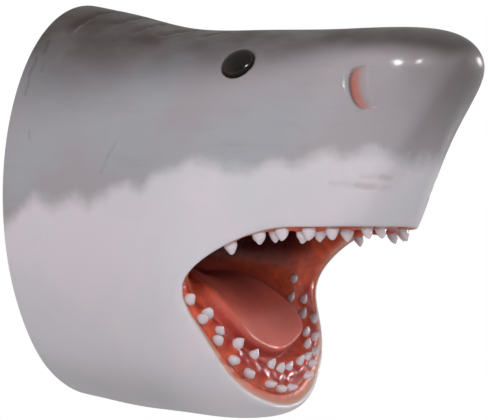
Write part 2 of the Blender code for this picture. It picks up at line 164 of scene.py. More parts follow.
# Teeth: place round the head (the near side counts from 8 to 16), station, size and twist.
NEAR_UPPER_TEETH = (
    (11.75, 9.8, 1.02, 8), (12.13, 9.6, 1.06, -7), (12.50, 9.5, 1.08, 6), (13.02, 9.5, 1.06, -5),
    (13.52, 9.5, 1.08, 7), (14.60, 9.5, 1.04, -8), (15.12, 9.5, 1.04, 9),
    (12.38, 10.3, 1.00, 12), (12.90, 10.3, 1.04, -12), (13.27, 10.3, 0.98, 9), (14.00, 10.2, 1.08, -6),
)
FAR_UPPER_TEETH = (
    (0.45, 9.6, 1.00, 10), (1.35, 9.8, 0.95, -6), (1.95, 9.7, 0.95, 8), (2.52, 9.8, 1.04, -9),
    (3.76, 9.9, 1.00, 6),
)
NEAR_LOWER_TEETH = (
    (10.15, 9.2, 0.95, 10), (9.72, 9.1, 0.98, -8), (9.25, 9.1, 1.00, 6), (8.87, 9.2, 1.00, -12),
    (8.42, 9.3, 0.98, 9), (8.17, 9.1, 0.90, -14), (10.55, 9.3, 0.92, -6), (10.15, 10.1, 0.98, 12),
    (9.82, 9.9, 0.85, -9), (9.38, 10.4, 1.00, 7), (8.85, 10.9, 0.92, -5), (8.38, 11.0, 0.92, 14),
    (8.18, 10.8, 0.92, -10),
)
FAR_LOWER_TEETH = (
    (7.92, 9.2, 0.88, -4), (7.42, 9.4, 0.95, 7), (7.22, 9.9, 0.88, -10), (6.96, 10.2, 0.88, 6),
    (6.64, 10.7, 0.85, -6), (6.17, 11.0, 0.92, 9), (7.88, 10.9, 0.85, 5), (7.50, 10.85, 0.92, 12),
    (7.25, 10.6, 0.88, -7), (6.97, 11.1, 0.88, 8), (6.65, 11.5, 0.88, -11), (6.10, 12.1, 0.92, 4),
    (5.68, 11.9, 0.88, -6), (5.12, 12.9, 0.80, 10), (5.62, 13.1, 0.80, -8),
)

# How far a tooth's surface is moved by noise, in metres, and the noise's seed.
TOOTH_UNEVENNESS = 0.0035
TOOTH_SEED = 7

# The line between the grey back and the white belly: distance from the wall and height, in metres.
GREY_EDGE = (
    (0.000, -0.048), (0.009, -0.043), (0.031, -0.019), (0.045, -0.008), (0.073, -0.022),
    (0.104, -0.008), (0.126, -0.020), (0.184, 0.008), (0.206, 0.001), (0.224, 0.021),
    (0.250, 0.024), (0.277, 0.038), (0.321, 0.029), (0.358, 0.024), (0.377, 0.038),
    (0.409, 0.030), (0.433, 0.043), (0.468, 0.040), (0.496, 0.048), (0.531, 0.036),
    (0.557, 0.041), (0.610, 0.043),
)

# Folds behind the crown, and thin marks in the skin, as lines on one side of the head, in metres.
FOLDS = (
    ((0.072, 0.020, 0.268), (0.067, 0.040, 0.265), (0.053, 0.064, 0.263), (0.049, 0.090, 0.252),
     (0.043, 0.115, 0.238), (0.043, 0.136, 0.221)),
    ((0.112, 0.004, 0.258), (0.105, 0.032, 0.256), (0.098, 0.070, 0.247), (0.088, 0.098, 0.235)),
    ((0.163, 0.018, 0.244), (0.146, 0.037, 0.245), (0.135, 0.070, 0.237), (0.125, 0.104, 0.220)),
    ((0.215, 0.028, 0.238), (0.204, 0.045, 0.234), (0.189, 0.063, 0.230), (0.172, 0.080, 0.224),
     (0.159, 0.089, 0.222)),
    ((0.262, 0.050, 0.228), (0.252, 0.063, 0.224), (0.238, 0.072, 0.221), (0.228, 0.083, 0.216)),
)
CREASES = (
    ((0.452, 0.124, 0.006), (0.480, 0.108, 0.003), (0.503, 0.091, 0.001), (0.530, 0.041, -0.004)),
    ((0.486, 0.105, 0.015), (0.506, 0.088, 0.014), (0.522, 0.066, 0.011), (0.538, 0.035, 0.008)),
)
CREASE_WIDTH = 0.0040
# Slits and thin marks: start, end, width and strength of each dark line of painted shade.
SLITS = (
    ((0.016, 0.147, 0.220), (0.021, 0.166, 0.198), 0.0024, 0.34),
    ((0.021, 0.166, 0.198), (0.027, 0.179, 0.173), 0.0020, 0.26),
    ((0.011, 0.169, 0.195), (0.012, 0.187, 0.166), 0.0022, 0.26),
    ((0.012, 0.187, 0.166), (0.014, 0.200, 0.138), 0.0020, 0.22),
    ((0.031, 0.214, 0.087), (0.034, 0.216, 0.073), 0.0018, 0.16),
    ((0.160, 0.195, 0.065), (0.150, 0.200, 0.042), 0.0026, 0.10),
    ((0.150, 0.200, 0.042), (0.141, 0.204, 0.026), 0.0026, 0.08),
    ((0.396, 0.140, 0.087), (0.421, 0.134, 0.074), 0.0022, 0.04),
    ((0.532, 0.081, 0.061), (0.547, 0.068, 0.062), 0.0016, 0.12),
)

# The photograph's camera, in metres and millimetres.
CAMERA_AZIMUTH = math.radians(29.0)
CAMERA_ELEVATION = math.radians(-2.3)
CAMERA_DISTANCE = 2.4
CAMERA_TARGET = Vector((0.25211, 0.0, -0.020625))
CAMERA_LENS = 124.04
CAMERA_SENSOR = 36.0

# The floor's height and radius, in metres.
FLOOR_LEVEL = -1.35
FLOOR_RADIUS = 7.5

# How bright the white studio is on the head, against the backdrop's full white.
STUDIO_LIGHT = 0.50


def length_property(name, description, default, low=0.0):
    return bpy.props.FloatProperty(
        name=name, description=description, default=default, min=low, unit="LENGTH")


def angle_property(name, description, degrees):
    return bpy.props.FloatProperty(
        name=name, description=description, default=math.radians(degrees), subtype="ANGLE")


def count_property(name, description, default):
    return bpy.props.IntProperty(name=name, description=description, default=default, min=48)


def colour_property(name, description, default):
    return bpy.props.FloatVectorProperty(
        name=name, description=description, default=default,
        subtype="COLOR", size=3, min=0.0, max=1.0)


class HeadSizes(bpy.types.PropertyGroup):
    """Sizes of the casting."""

    depth: length_property("Depth", "How far the snout's form stands out from the wall", 0.610, 0.2)
    rim_width: length_property("Rim width", "Width of the oval rim on the wall", 0.464, 0.1)
    rim_height: length_property("Rim height", "Height of the oval rim on the wall", 0.582, 0.1)
    wall: length_property("Wall", "Thickness of the cast wall", 0.006, 0.001)
    flange_width: length_property("Flange width", "Width of the flat flange inside the rim", 0.045, 0.01)
    flange_thickness: length_property("Flange thickness", "Thickness of the flange", 0.009, 0.002)
    keyhole_spacing: length_property(
        "Keyhole spacing", "Distance between the two hanging keyholes", 0.200, 0.05)
    keyhole_inset: length_property(
        "Keyhole inset", "How far a keyhole's entry lies below the rim's edge", 0.033, 0.01)
    keyhole_head: length_property("Keyhole entry", "Diameter of a keyhole's round entry", 0.012, 0.004)
    keyhole_slot: length_property("Keyhole slot", "Width of a keyhole's slot", 0.006, 0.002)
    keyhole_length: length_property(
        "Keyhole length", "From the entry's middle to the slot's end", 0.016, 0.004)
    columns: count_property("Columns", "Faces round the skin and the mouth", 400)
    back_columns: count_property("Back columns", "Faces round the hollow behind", 160)


class MouthSizes(bpy.types.PropertyGroup):
    """Sizes of the teeth and the tongue."""

    tooth_width: length_property("Tooth width", "Width of the largest teeth", 0.0178, 0.002)
    tooth_height: length_property(
        "Tooth height", "How far the largest teeth stand out of the gum", 0.0165, 0.002)
    tooth_sink: length_property("Tooth sink", "How far a tooth is set into the gum", 0.005)
    tongue_rise: length_property(
        "Tongue rise", "How far the tongue stands up from the mouth's floor", 0.022)


class FaceSizes(bpy.types.PropertyGroup):
    """Sizes of the eyes and the nostrils."""

    eye_length: length_property("Eye length", "The eye's oval along the head", 0.042, 0.005)
    eye_width: length_property("Eye width", "The eye's oval across the head", 0.052, 0.005)
    eye_bulge: length_property("Eye bulge", "How far the eye stands out of the skin", 0.0044)
    eye_tilt: angle_property("Eye tilt", "Turn of the eye's oval on the skin", -12.0)
    nostril_length: length_property("Nostril length", "Length of the nostril's crescent", 0.058, 0.005)
    nostril_width: length_property("Nostril width", "Width of the nostril's crescent", 0.029, 0.005)
    nostril_depth: length_property("Nostril depth", "Depth at the nostril's back edge", 0.0055)
    nostril_tilt: angle_property("Nostril tilt", "Backward lean of the nostril", 14.0)


class PaintColours(bpy.types.PropertyGroup):
    """Colours of the paint, as linear values."""

    grey: colour_property("Grey", "The grey of the back", (0.345, 0.318, 0.338))
    # The crown colour also carries the painted shade on the top and in the folds' hollows.
    crown: colour_property("Crown", "The dark brown-grey along the top", (0.046, 0.031, 0.028))
    white: colour_property("White", "The white of the belly", (0.595, 0.560, 0.590))
    lip: colour_property("Lip", "The cream-pink edge of the lips", (0.500, 0.260, 0.185))
    gum: colour_property("Gum", "The orange-brown of the gums", (0.455, 0.078, 0.038))
    crimson: colour_property("Crimson", "The red between the rows of teeth", (0.300, 0.018, 0.022))
    tongue: colour_property("Tongue", "The red-brown of the tongue", (0.570, 0.112, 0.082))
    # This colour stands partly for the palate's dark red paint and partly for painted shade deep in the
    # mouth.
    deep_red_and_shade: colour_property("Deep", "The dark red of the palate and the throat", (0.036, 0.003, 0.003))
    nostril: colour_property("Nostril", "The salmon inside of the nostril", (0.400, 0.130, 0.098))
    tooth: colour_property("Tooth", "The off-white of the teeth", (0.600, 0.545, 0.585))
    eye: colour_property("Eye", "The near black of the eye", (0.006, 0.003, 0.003))
    # The eye glow colour paints both the reflection in the eye's inner ring and its glow of light.
    eye_glow: colour_property("Eye glow", "The brown inner ring of the eye", (0.036, 0.021, 0.018))
    resin: colour_property("Resin", "The bare casting behind", (0.520, 0.500, 0.450))
    floor: colour_property("Floor", "The pale floor", (0.800, 0.800, 0.800))


# The form of the head.


def closed_spline(points, at):
    """Points on the smooth closed curve through the given points, one unit apart from each to the next."""
    count = len(points)
    matrix = np.zeros((count, count))
    bends = np.zeros(points.shape)
    for i in range(count):
        after = (i + 1) % count
        matrix[i, i] = 4.0
        matrix[i, i - 1] = 1.0
        matrix[i, after] = 1.0
        bends[i] = 6.0 * (points[i - 1] - 2.0 * points[i] + points[after])
    second = np.linalg.solve(matrix, bends)
    first = np.floor(at).astype(int) % count
    after = (first + 1) % count
    t = (at - np.floor(at))[:, None]
    s = 1.0 - t
    straight = s * points[first] + t * points[after]
    return straight + ((s**3 - s) * second[first] + (t**3 - t) * second[after]) / 6.0


def open_spline(points, knots, at):
    """Points on the smooth open curves through the given points (first index), at the given knots."""
    count = len(points)
    matrix = np.zeros((count, count))
    matrix[0, 0] = matrix[-1, -1] = 1.0
    bends = np.zeros(points.shape)
    for i in range(1, count - 1):
        before, after = knots[i] - knots[i - 1], knots[i + 1] - knots[i]
        matrix[i, i - 1 : i + 2] = before, 2.0 * (before + after), after
        bends[i] = 6.0 * ((points[i + 1] - points[i]) / after - (points[i] - points[i - 1]) / before)
    second = np.linalg.solve(matrix, bends.reshape(count, -1)).reshape(points.shape)
    i = np.clip(np.searchsorted(knots, at, side="right") - 1, 0, count - 2)
    span = (knots[i + 1] - knots[i])[:, None, None]
    t = ((at - knots[i])[:, None, None]) / span
    s = 1.0 - t
    curve = s * points[i] + t * points[i + 1]
    return curve + span**2 * ((s**3 - s) * second[i] + (t**3 - t) * second[i + 1]) / 6.0


def whole_ring(half):
    """The closed ring of stations: crown, far side, chin, near side."""
    half = np.array(half, float)
    return np.concatenate([half, half[-2:0:-1] * (1, -1, 1)])


def shares_round(shares, across):
    shares = np.array(shares, float)
    return closed_spline(np.concatenate([shares, shares[-2:0:-1]])[:, None], across)


def unit(vectors):
    return vectors / np.linalg.norm(vectors, axis=-1, keepdims=True)


def smooth_step(value, low, high):
    t = np.clip((value - low) / (high - low), 0.0, 1.0)
    return t * t * (3.0 - 2.0 * t)


def band(value, low, full, fall, end):
    """0 up to low, 1 from full to fall, and 0 again from end."""
    return smooth_step(value, low, full) * (1.0 - smooth_step(value, fall, end))


def hump(value, middle, width):
    return np.exp(-(((value - middle) / width) ** 2))


def station_rings(across):
    """The rings of stations from the rim to the throat, as drawn, at the given places round the head."""
    angles = np.radians(RIM_ANGLES)
    across_rim = DRAWN_HALF_WIDTH * np.sin(angles)
    up_rim = DRAWN_HALF_HEIGHT * np.cos(angles)
    rim = np.stack([0 * angles, across_rim, up_rim], axis=1)
    rings = [closed_spline(whole_ring(rim), across)]
    for j in range(len(CROWN)):
        rings.append(closed_spline(whole_ring([line[j] for line in SKIN_LINES]), across))
    mouth = [closed_spline(whole_ring([line[j] for line in MOUTH_LINES]), across) for j in range(3)]
    lip = rings[-1]
    lip_ring = whole_ring([line[-1] for line in SKIN_LINES])
    tangent = unit(closed_spline(lip_ring, across + 0.01) - lip)
    inward = mouth[0] - lip
    inward -= (inward * tangent).sum(axis=1, keepdims=True) * tangent
    reach = np.linalg.norm(inward, axis=1, keepdims=True)
    inward /= reach
    outward = np.cross(inward, tangent)
    room = np.minimum(1.0, reach / GUM_ROOM)
    spread = room * shares_round(GUM_SPREAD_SHARES, across)
    height = shares_round(GUM_HEIGHT_SHARES, across)
    for far, high in zip(GUM_IN, GUM_OUT):
        rings.append(lip + far * spread * inward + high * height * outward)
    throat = np.tile(np.array(THROAT, float), (len(across), 1))
    return np.stack(rings + mouth + [throat])


def station_knots():
    rings = station_rings(np.arange(0, LINES_ROUND, 0.25))
    steps = np.linalg.norm(np.diff(rings, axis=0), axis=2).mean(axis=1)
    return np.concatenate([[0.0], np.cumsum(np.sqrt(steps))])


KNOTS = station_knots()


def to_metres(points):
    sizes = bpy.context.scene.shark_head_sizes
    scale = (
        sizes.depth / DRAWN_DEPTH,
        sizes.rim_width / 2 / DRAWN_HALF_WIDTH,
        sizes.rim_height / 2 / DRAWN_HALF_HEIGHT,
    )
    return points * scale


def surface(across, along):
    """The outer surface in metres, by place round the head and station along it, without the tongue."""
    across = np.asarray(across, float)
    along = np.asarray(along, float)
    at = np.interp(along, np.arange(len(KNOTS)), KNOTS)
    return to_metres(open_spline(station_rings(across), KNOTS, at))


def normals_of(grid):
    """Unit normals, out of the material, of a grid of points that is closed round its second index."""
    round_step = np.roll(grid, -1, axis=1) - np.roll(grid, 1, axis=1)
    along_step = np.gradient(grid, axis=0)
    normal = np.cross(along_step, round_step)
    return normal / np.maximum(np.linalg.norm(normal, axis=-1, keepdims=True), 1e-12)


def tongue_lift(across, along):
    """How far the tongue raises the mouth's floor, as a share."""
    off_centre = np.abs(across - TONGUE_MIDDLE)[None, :]
    length = band(along, *TONGUE_TIP, *TONGUE_ROOT)[:, None]
    half_width = TONGUE_HALF_WIDTH + TONGUE_WIDER_BY * smooth_step(along, *TONGUE_WIDENS)[:, None]
    side = 1.0 - smooth_step(off_centre, half_width * 0.75, half_width)
    return length * side


def local_frame(across, along):
    """A point of the surface, its outward normal, and its directions round the head and along the line."""
    steps = np.array((-0.02, 0.0, 0.02))
    grid = surface(across + steps, along + steps)
    point = Vector(grid[1, 1])
    round_way = Vector(grid[1, 2] - grid[1, 0]).normalized()
    along_way = Vector(grid[2, 1] - grid[0, 1]).normalized()
    return point, along_way.cross(round_way).normalized(), round_way, along_way


def feature_axes(place, tilt):
    """The middle of a feature on the +Y side, its axes along and across the head, and the normal."""
    point, out, _, _ = local_frame(*place)
    forward = (Vector((1.0, 0.0, 0.0)) - out.x * out).normalized()
    upward = forward.cross(out)
    if upward.z < 0:
        upward = -upward
    first = forward * math.cos(tilt) + upward * math.sin(tilt)
    second = upward * math.cos(tilt) - forward * math.sin(tilt)
    return np.array(point), np.array(first), np.array(second), np.array(out)


# Where the grid's rows and columns lie.


def even_steps(low, high, count, crowding, closed):
    """Positions from low to high whose steps shrink where the crowding is larger."""
    fine = np.linspace(low, high, 6001)
    middle = (fine[1:] + fine[:-1]) / 2
    total = np.concatenate([[0.0], np.cumsum(crowding(middle))])
    targets = np.linspace(0.0, total[-1], count + 1)
    positions = np.interp(targets, total, fine)
    return positions[:-1] if closed else positions


def column_places(count):
    """Places round the head, closer together at the eyes, the nostrils and the mouth's corners."""

    def crowding(place):
        mirrored = np.minimum(place, LINES_ROUND - place)
        return (1.0 + 1.6 * hump(mirrored, NOSTRIL_PLACE[0], 0.42) + 0.7 * hump(mirrored, EYE_PLACE[0], 0.5)
                + 0.35 * hump(mirrored, 5.0, 0.7))

    return even_steps(0.0, LINES_ROUND, count, crowding, True)


def skin_rows():
    def crowding(station):
        return 1.0 + 1.1 * hump(station, NOSTRIL_PLACE[1], 0.5) + 0.6 * hump(station, EYE_PLACE[1], 0.35)

    back = even_steps(RIM, LIP_START, SKIN_ROWS, crowding, False)
    lip = np.linspace(LIP_START, SEAM, LIP_ROWS)
    return np.concatenate([back[:-1], lip])


def mouth_rows():
    gum = np.linspace(SEAM, BEHIND_GUM, GUM_ROWS)
    mouth = np.linspace(BEHIND_GUM, THROAT_END, MOUTH_ROWS)
    return np.concatenate([gum[:-1], mouth])


# The relief that the sculptor worked into the form.


def distance_to_line(points, line):
    """Distance to a line of points, signed by its side along X too, and how far along the line it is met."""
    best = np.full(points.shape[:-1], 1e9)
    side = np.zeros(points.shape[:-1])
    share = np.zeros(points.shape[:-1])
    line = np.array(line, float)
    count = len(line) - 1
    for i in range(count):
        step = line[i + 1] - line[i]
        t = np.clip(((points - line[i]) @ step) / (step @ step), 0.0, 1.0)
        nearest = line[i] + t[..., None] * step
        away = np.linalg.norm(points - nearest, axis=-1)
        closer = away < best
        best = np.where(closer, away, best)
        side = np.where(closer, np.sign(points[..., 0] - nearest[..., 0]) * away, side)
        share = np.where(closer, (i + t) / count, share)
    return best, side, share


def noise_field(points, scale, seed):
    """Soft noise between -1 and 1 for each point."""
    flat = points.reshape(-1, 3) * scale + seed
    values = [noise.noise(Vector(p)) for p in flat]
    return np.array(values).reshape(points.shape[:-1])


def tooth_places():
    """Every tooth: place, station, size, twist and whether it stands in the lower jaw."""
    teeth = [(*tooth, False) for tooth in NEAR_UPPER_TEETH + FAR_UPPER_TEETH]
    teeth += [(*tooth, True) for tooth in NEAR_LOWER_TEETH + FAR_LOWER_TEETH]
    return teeth


def fold_relief(one_side):
    """Folds behind the crown, each a ridge with a hollow on its wall side, with masks for the painted
    highlight on each ridge and the painted shade in each hollow.
    """
    relief, fold_painted_highlight, fold_painted_shade = np.zeros((3, *one_side.shape[:-1]))
    for line in FOLDS:
        away, side, share = distance_to_line(one_side, line)
        ends = band(share, 0.0, 0.15, 0.70, 1.0)
        near = ends * hump(away, 0.0, 0.022)
        relief += near * (0.0016 * hump(side, 0.002, 0.0042) - 0.0040 * hump(side, -0.0075, 0.0065))
        fold_painted_highlight = np.maximum(fold_painted_highlight, near * hump(side, 0.001, 0.0024))
        fold_painted_shade = np.maximum(fold_painted_shade, near * hump(side, -0.0080, 0.0070))
    return relief, fold_painted_highlight, fold_painted_shade


def crease_relief(one_side, skin):
    """Soft creases over the upper lip."""
    crease = np.zeros(one_side.shape[:-1])
    for line in CREASES:
        away, _, share = distance_to_line(one_side, line)
        ends = band(share, 0.0, 0.3, 0.8, 1.0)
        crease = np.maximum(crease, ends * hump(away, 0.0, 0.0065) * skin)
    return -0.0012 * crease


def eye_relief(one_side, skin):
    """A seat under each eye's dome, a groove round it and a soft lid."""
    face = bpy.context.scene.shark_face_sizes
    middle, first, second, out = feature_axes(EYE_PLACE, face.eye_tilt)
    offset = one_side - middle
    near = np.abs(offset @ out) < 0.03
    ring = np.hypot(offset @ first / (face.eye_length / 2), offset @ second / (face.eye_width / 2))
    ring = np.where(near, ring, 9.0)
    seat = 0.0045 * (1.0 - smooth_step(ring, 0.80, 0.98))
    return skin * (0.0013 * hump(ring, 1.20, 0.12) - 0.0008 * hump(ring, 1.04, 0.05)) - seat


def nostril_relief(one_side, skin):
    """Crescents that are steep at their back edge and run out forwards, with their paint and a line of
    painted shade along that edge.
    """
    face = bpy.context.scene.shark_face_sizes
    relief = np.zeros(one_side.shape[:-1])
    middle, first, second, out = feature_axes(NOSTRIL_PLACE, face.nostril_tilt)
    offset = one_side - middle
    near = (np.abs(offset @ out) < 0.03) & (skin > 0)
    height = np.clip(offset @ second / (face.nostril_length / 2), -1.0, 1.0)
    taper = np.where(near, np.sqrt(1.0 - height**2), 0.0)
    inside = offset @ first - NOSTRIL_LEAD + taper * face.nostril_width / 2
    within = np.sqrt(taper)
    hollow = band(inside, -0.0006, 0.0026, 0.005, 0.026)
    relief -= face.nostril_depth * within * hollow
    relief += 0.0012 * within * hump(inside, -0.0030, 0.0028)
    nostril = within * smooth_step(inside, 0.0, 0.0018) * (1.0 - smooth_step(inside, 0.007, 0.019))
    # A dark line of painted shade along the steep back edge.
    nostril_line = within * hump(inside, 0.0004, 0.0014)
    for end in (middle + second * face.nostril_length / 2, middle - second * face.nostril_length / 2):
        bead = np.linalg.norm(one_side - end + first * 0.001, axis=-1)
        relief += 0.0013 * hump(bead, 0.0, 0.0042)
    return relief, nostril, nostril_line


def gum_relief(points, along, mirrored):
    """Lumpy gums that swell round each tooth, with where the gum is and where it swells."""
    relief = np.zeros(points.shape[:-1])
    gum = band(along, 8.8, 9.3, 12.0, 12.8)[:, None] * np.ones(relief.shape)
    swell = np.zeros(relief.shape)
    rows = (along > 8.7) & (along < 13.0)
    for place, station, *_ in tooth_places():
        root = np.array(local_frame(place, station)[0])
        away = np.linalg.norm(points[rows] - root, axis=-1)
        swell[rows] = np.maximum(swell[rows], np.exp(-((away / 0.0105) ** 2)))
    relief += 0.0030 * swell * gum
    lumps = noise_field(points[rows], 75.0, 11.0)
    front = 0.0009 + 0.0016 * smooth_step(mirrored, 6.9, 7.5)
    relief[rows] += front * lumps * gum[rows]
    return relief, gum, swell


def head_grid(across, along):
    """The finished surface, with the shares of each paint at every point."""
    points = surface(across, along)
    normals = normals_of(points)
    lift = tongue_lift(across, along)
    skin = (1.0 - smooth_step(along, 7.7, 8.1))[:, None]
    one_side = points * (1, 0, 1) + np.abs(points) * (0, 1, 0)
    relief = np.zeros(points.shape[:2])

    # Uneven hand work, always inwards.
    uneven = 0.5 + 0.5 * noise_field(points, 9.0, 3.0)
    relief -= 0.0011 * uneven * skin * smooth_step(along, 0.0, 0.5)[:, None]

    # A low bump on each side of the snout.
    bump = np.linalg.norm(one_side - SNOUT_BUMP, axis=-1)
    relief += 0.0018 * hump(bump, 0.0, 0.022)

    folds, fold_painted_highlight, fold_painted_shade = fold_relief(one_side)
    nostrils, nostril, nostril_line = nostril_relief(one_side, skin)
    relief += folds + crease_relief(one_side, skin) + eye_relief(one_side, skin) + nostrils

    # Lips: a groove where the skin meets the gum.
    mirrored = np.minimum(across, LINES_ROUND - across)[None, :]
    cheek = hump(mirrored, 4.1, 1.2)
    relief -= 0.0022 * hump(along, 8.72, 0.22)[:, None] * (1.0 - 0.9 * cheek)

    gums, gum, swell = gum_relief(points, along, mirrored)
    relief += gums

    # The tongue and the groove along its edge.
    relief += bpy.context.scene.shark_mouth_sizes.tongue_rise * lift
    edge = 4.0 * lift * (1.0 - lift)
    relief -= 0.0030 * edge * (lift < 0.5)

    # Low ridges across the palate.
    palate = band(along, 12.2, 12.8, 14.6, 15.4)[:, None] * (1.0 - smooth_step(mirrored, 2.0, 3.2))
    relief += 0.0012 * palate * np.sin(along * 11.0)[:, None]

    placed = points + relief[..., None] * normals
    placed = np.clip(placed, CAD_BOX[0], CAD_BOX[1])

    edge_height = np.interp(points[..., 0], *zip(*GREY_EDGE))
    tip = np.linalg.norm(points - SNOUT_TIP, axis=-1)
    # The top is darker where it faces up, and more so near the rim and on the snout: partly the crown's dark
    # paint, partly painted shade on the top, which is turned from the light.
    behind = 0.17 * (1.0 - smooth_step(points[..., 0], 0.04, 0.24))
    ahead = 0.24 * smooth_step(points[..., 0], 0.42, 0.57)
    crown = smooth_step(normals[..., 2] + behind + ahead, 0.36, 0.90)
    spread = 1.0 - 0.84 * cheek
    painted = np.where(along[:, None] > LIP, LIP + (along[:, None] - LIP) * spread, along[:, None])
    outward = 0.50 * smooth_step(mirrored, 5.2, 7.2) - 0.22 * (1.0 - smooth_step(mirrored, 2.8, 4.0))
    painted = painted + outward * smooth_step(along, 6.6, 7.4)[:, None]
    paint = {
        "over_edge": points[..., 2] - edge_height,
        "crown": crown,
        "tip": hump(tip, 0.0, 0.100),
        "station": painted * np.ones(relief.shape),
        "between": gum * (1.0 - swell) * hump(along, 10.4, 1.2)[:, None] * (1.0 - cheek),
        "deep_red_and_shade": depth_share(points, along, lift),
        "fold_painted_highlight": fold_painted_highlight,
        "fold_painted_shade": fold_painted_shade,
        "nostril_edge_shade": 0.9 * nostril_line,
        "nostril": nostril,
        # Painted shade in the groove along the tongue's edge.
        "seam": edge * (lift < 0.6),
        "varnish": np.maximum(smooth_step(points[..., 0], 0.40, 0.50) * skin, 1.0 - skin),
    }
    return placed, paint


def depth_share(points, along, lift):
    """How dark the mouth is painted: darkest on the palate and in the throat, partly their dark red paint and
    partly painted shade deep in the mouth.
    """
    inward = smooth_step(along, 11.6, 13.6)[:, None]
    high = smooth_step(points[..., 2], -0.122, -0.066)
    throat = smooth_step(along, 14.6, 15.8)[:, None]
    return np.clip(inward * np.maximum(high, 0.15 * throat) * (1.0 - 0.85 * lift), 0.0, 1.0)


# Meshes and objects.


def grid_mesh(name, points, paint, pole):
    """A smooth mesh of a grid that is closed round its second index, ending in a pole if asked."""
    row_count, column_count = points.shape[:2]
    bm = bmesh.new()
    last = row_count - 1 if pole else row_count
    verts = [[bm.verts.new(p) for p in row] for row in points[:last]]
    for first, second in zip(verts[:-1], verts[1:]):
        for i in range(column_count):
            j = (i + 1) % column_count
            bm.faces.new((first[i], second[i], second[j], first[j]))
    if pole:
        tip = bm.verts.new(points[-1, 0])
        for i in range(column_count):
            j = (i + 1) % column_count
            bm.faces.new((verts[-1][i], tip, verts[-1][j]))
    mesh = bpy.data.meshes.new(name)
    bm.to_mesh(mesh)
    bm.free()
    for key, values in paint.items():
        flat = np.asarray(values, np.float32)[:last].reshape(-1)
        if pole:
            flat = np.append(flat, np.asarray(values)[-1, 0])
        layer = mesh.attributes.new(key, "FLOAT", "POINT")
        layer.data.foreach_set("value", flat.astype(np.float32))
    mesh.shade_smooth()
    return mesh


def add_piece(name, mesh, material, node):
    """Links a finished piece, rides it on the casting's body and has it stand for its solid."""
    piece = bpy.data.objects.new(name, mesh)
    bpy.context.scene.collection.objects.link(piece)
    if not mesh.materials:
        mesh.materials.append(material)
    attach(piece, "root")
    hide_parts(node)
    return piece


# Materials.


class NodeMaker:
    """A node tree, with short ways to add nodes and fill their sockets."""

    def __init__(self, tree):
        self.tree = tree

    def add(self, kind, inputs=None, **values):
        """A node with its own settings, and with its inputs filled by name or number."""
        made = self.tree.nodes.new(kind)
        for key, value in values.items():
            setattr(made, key, value)
        for key, value in (inputs or {}).items():
            self.set(made.inputs[key], value)
        return made

    def set(self, socket, value):
        """Links a socket to the value, or fills it where the value isn't a socket."""
        if isinstance(value, bpy.types.NodeSocket):
            self.tree.links.new(value, socket)
        elif socket.type == "RGBA" and len(value) == 3:
            socket.default_value = (*value, 1.0)
        else:
            socket.default_value = value

    def math(self, operation, *values):
        return self.add("ShaderNodeMath", dict(enumerate(values)), operation=operation).outputs[0]

    def vector_math(self, operation, *values, output="Vector"):
        made = self.add("ShaderNodeVectorMath", dict(enumerate(values)), operation=operation)
        return made.outputs[output]

    def scaled(self, vector, share):
        return self.add("ShaderNodeVectorMath", {0: vector, "Scale": share}, operation="SCALE").outputs[0]

    def vector(self, x, y, z):
        return self.add("ShaderNodeCombineXYZ", {0: x, 1: y, 2: z}).outputs[0]

    def parts(self, vector):
        return self.add("ShaderNodeSeparateXYZ", {0: vector}).outputs


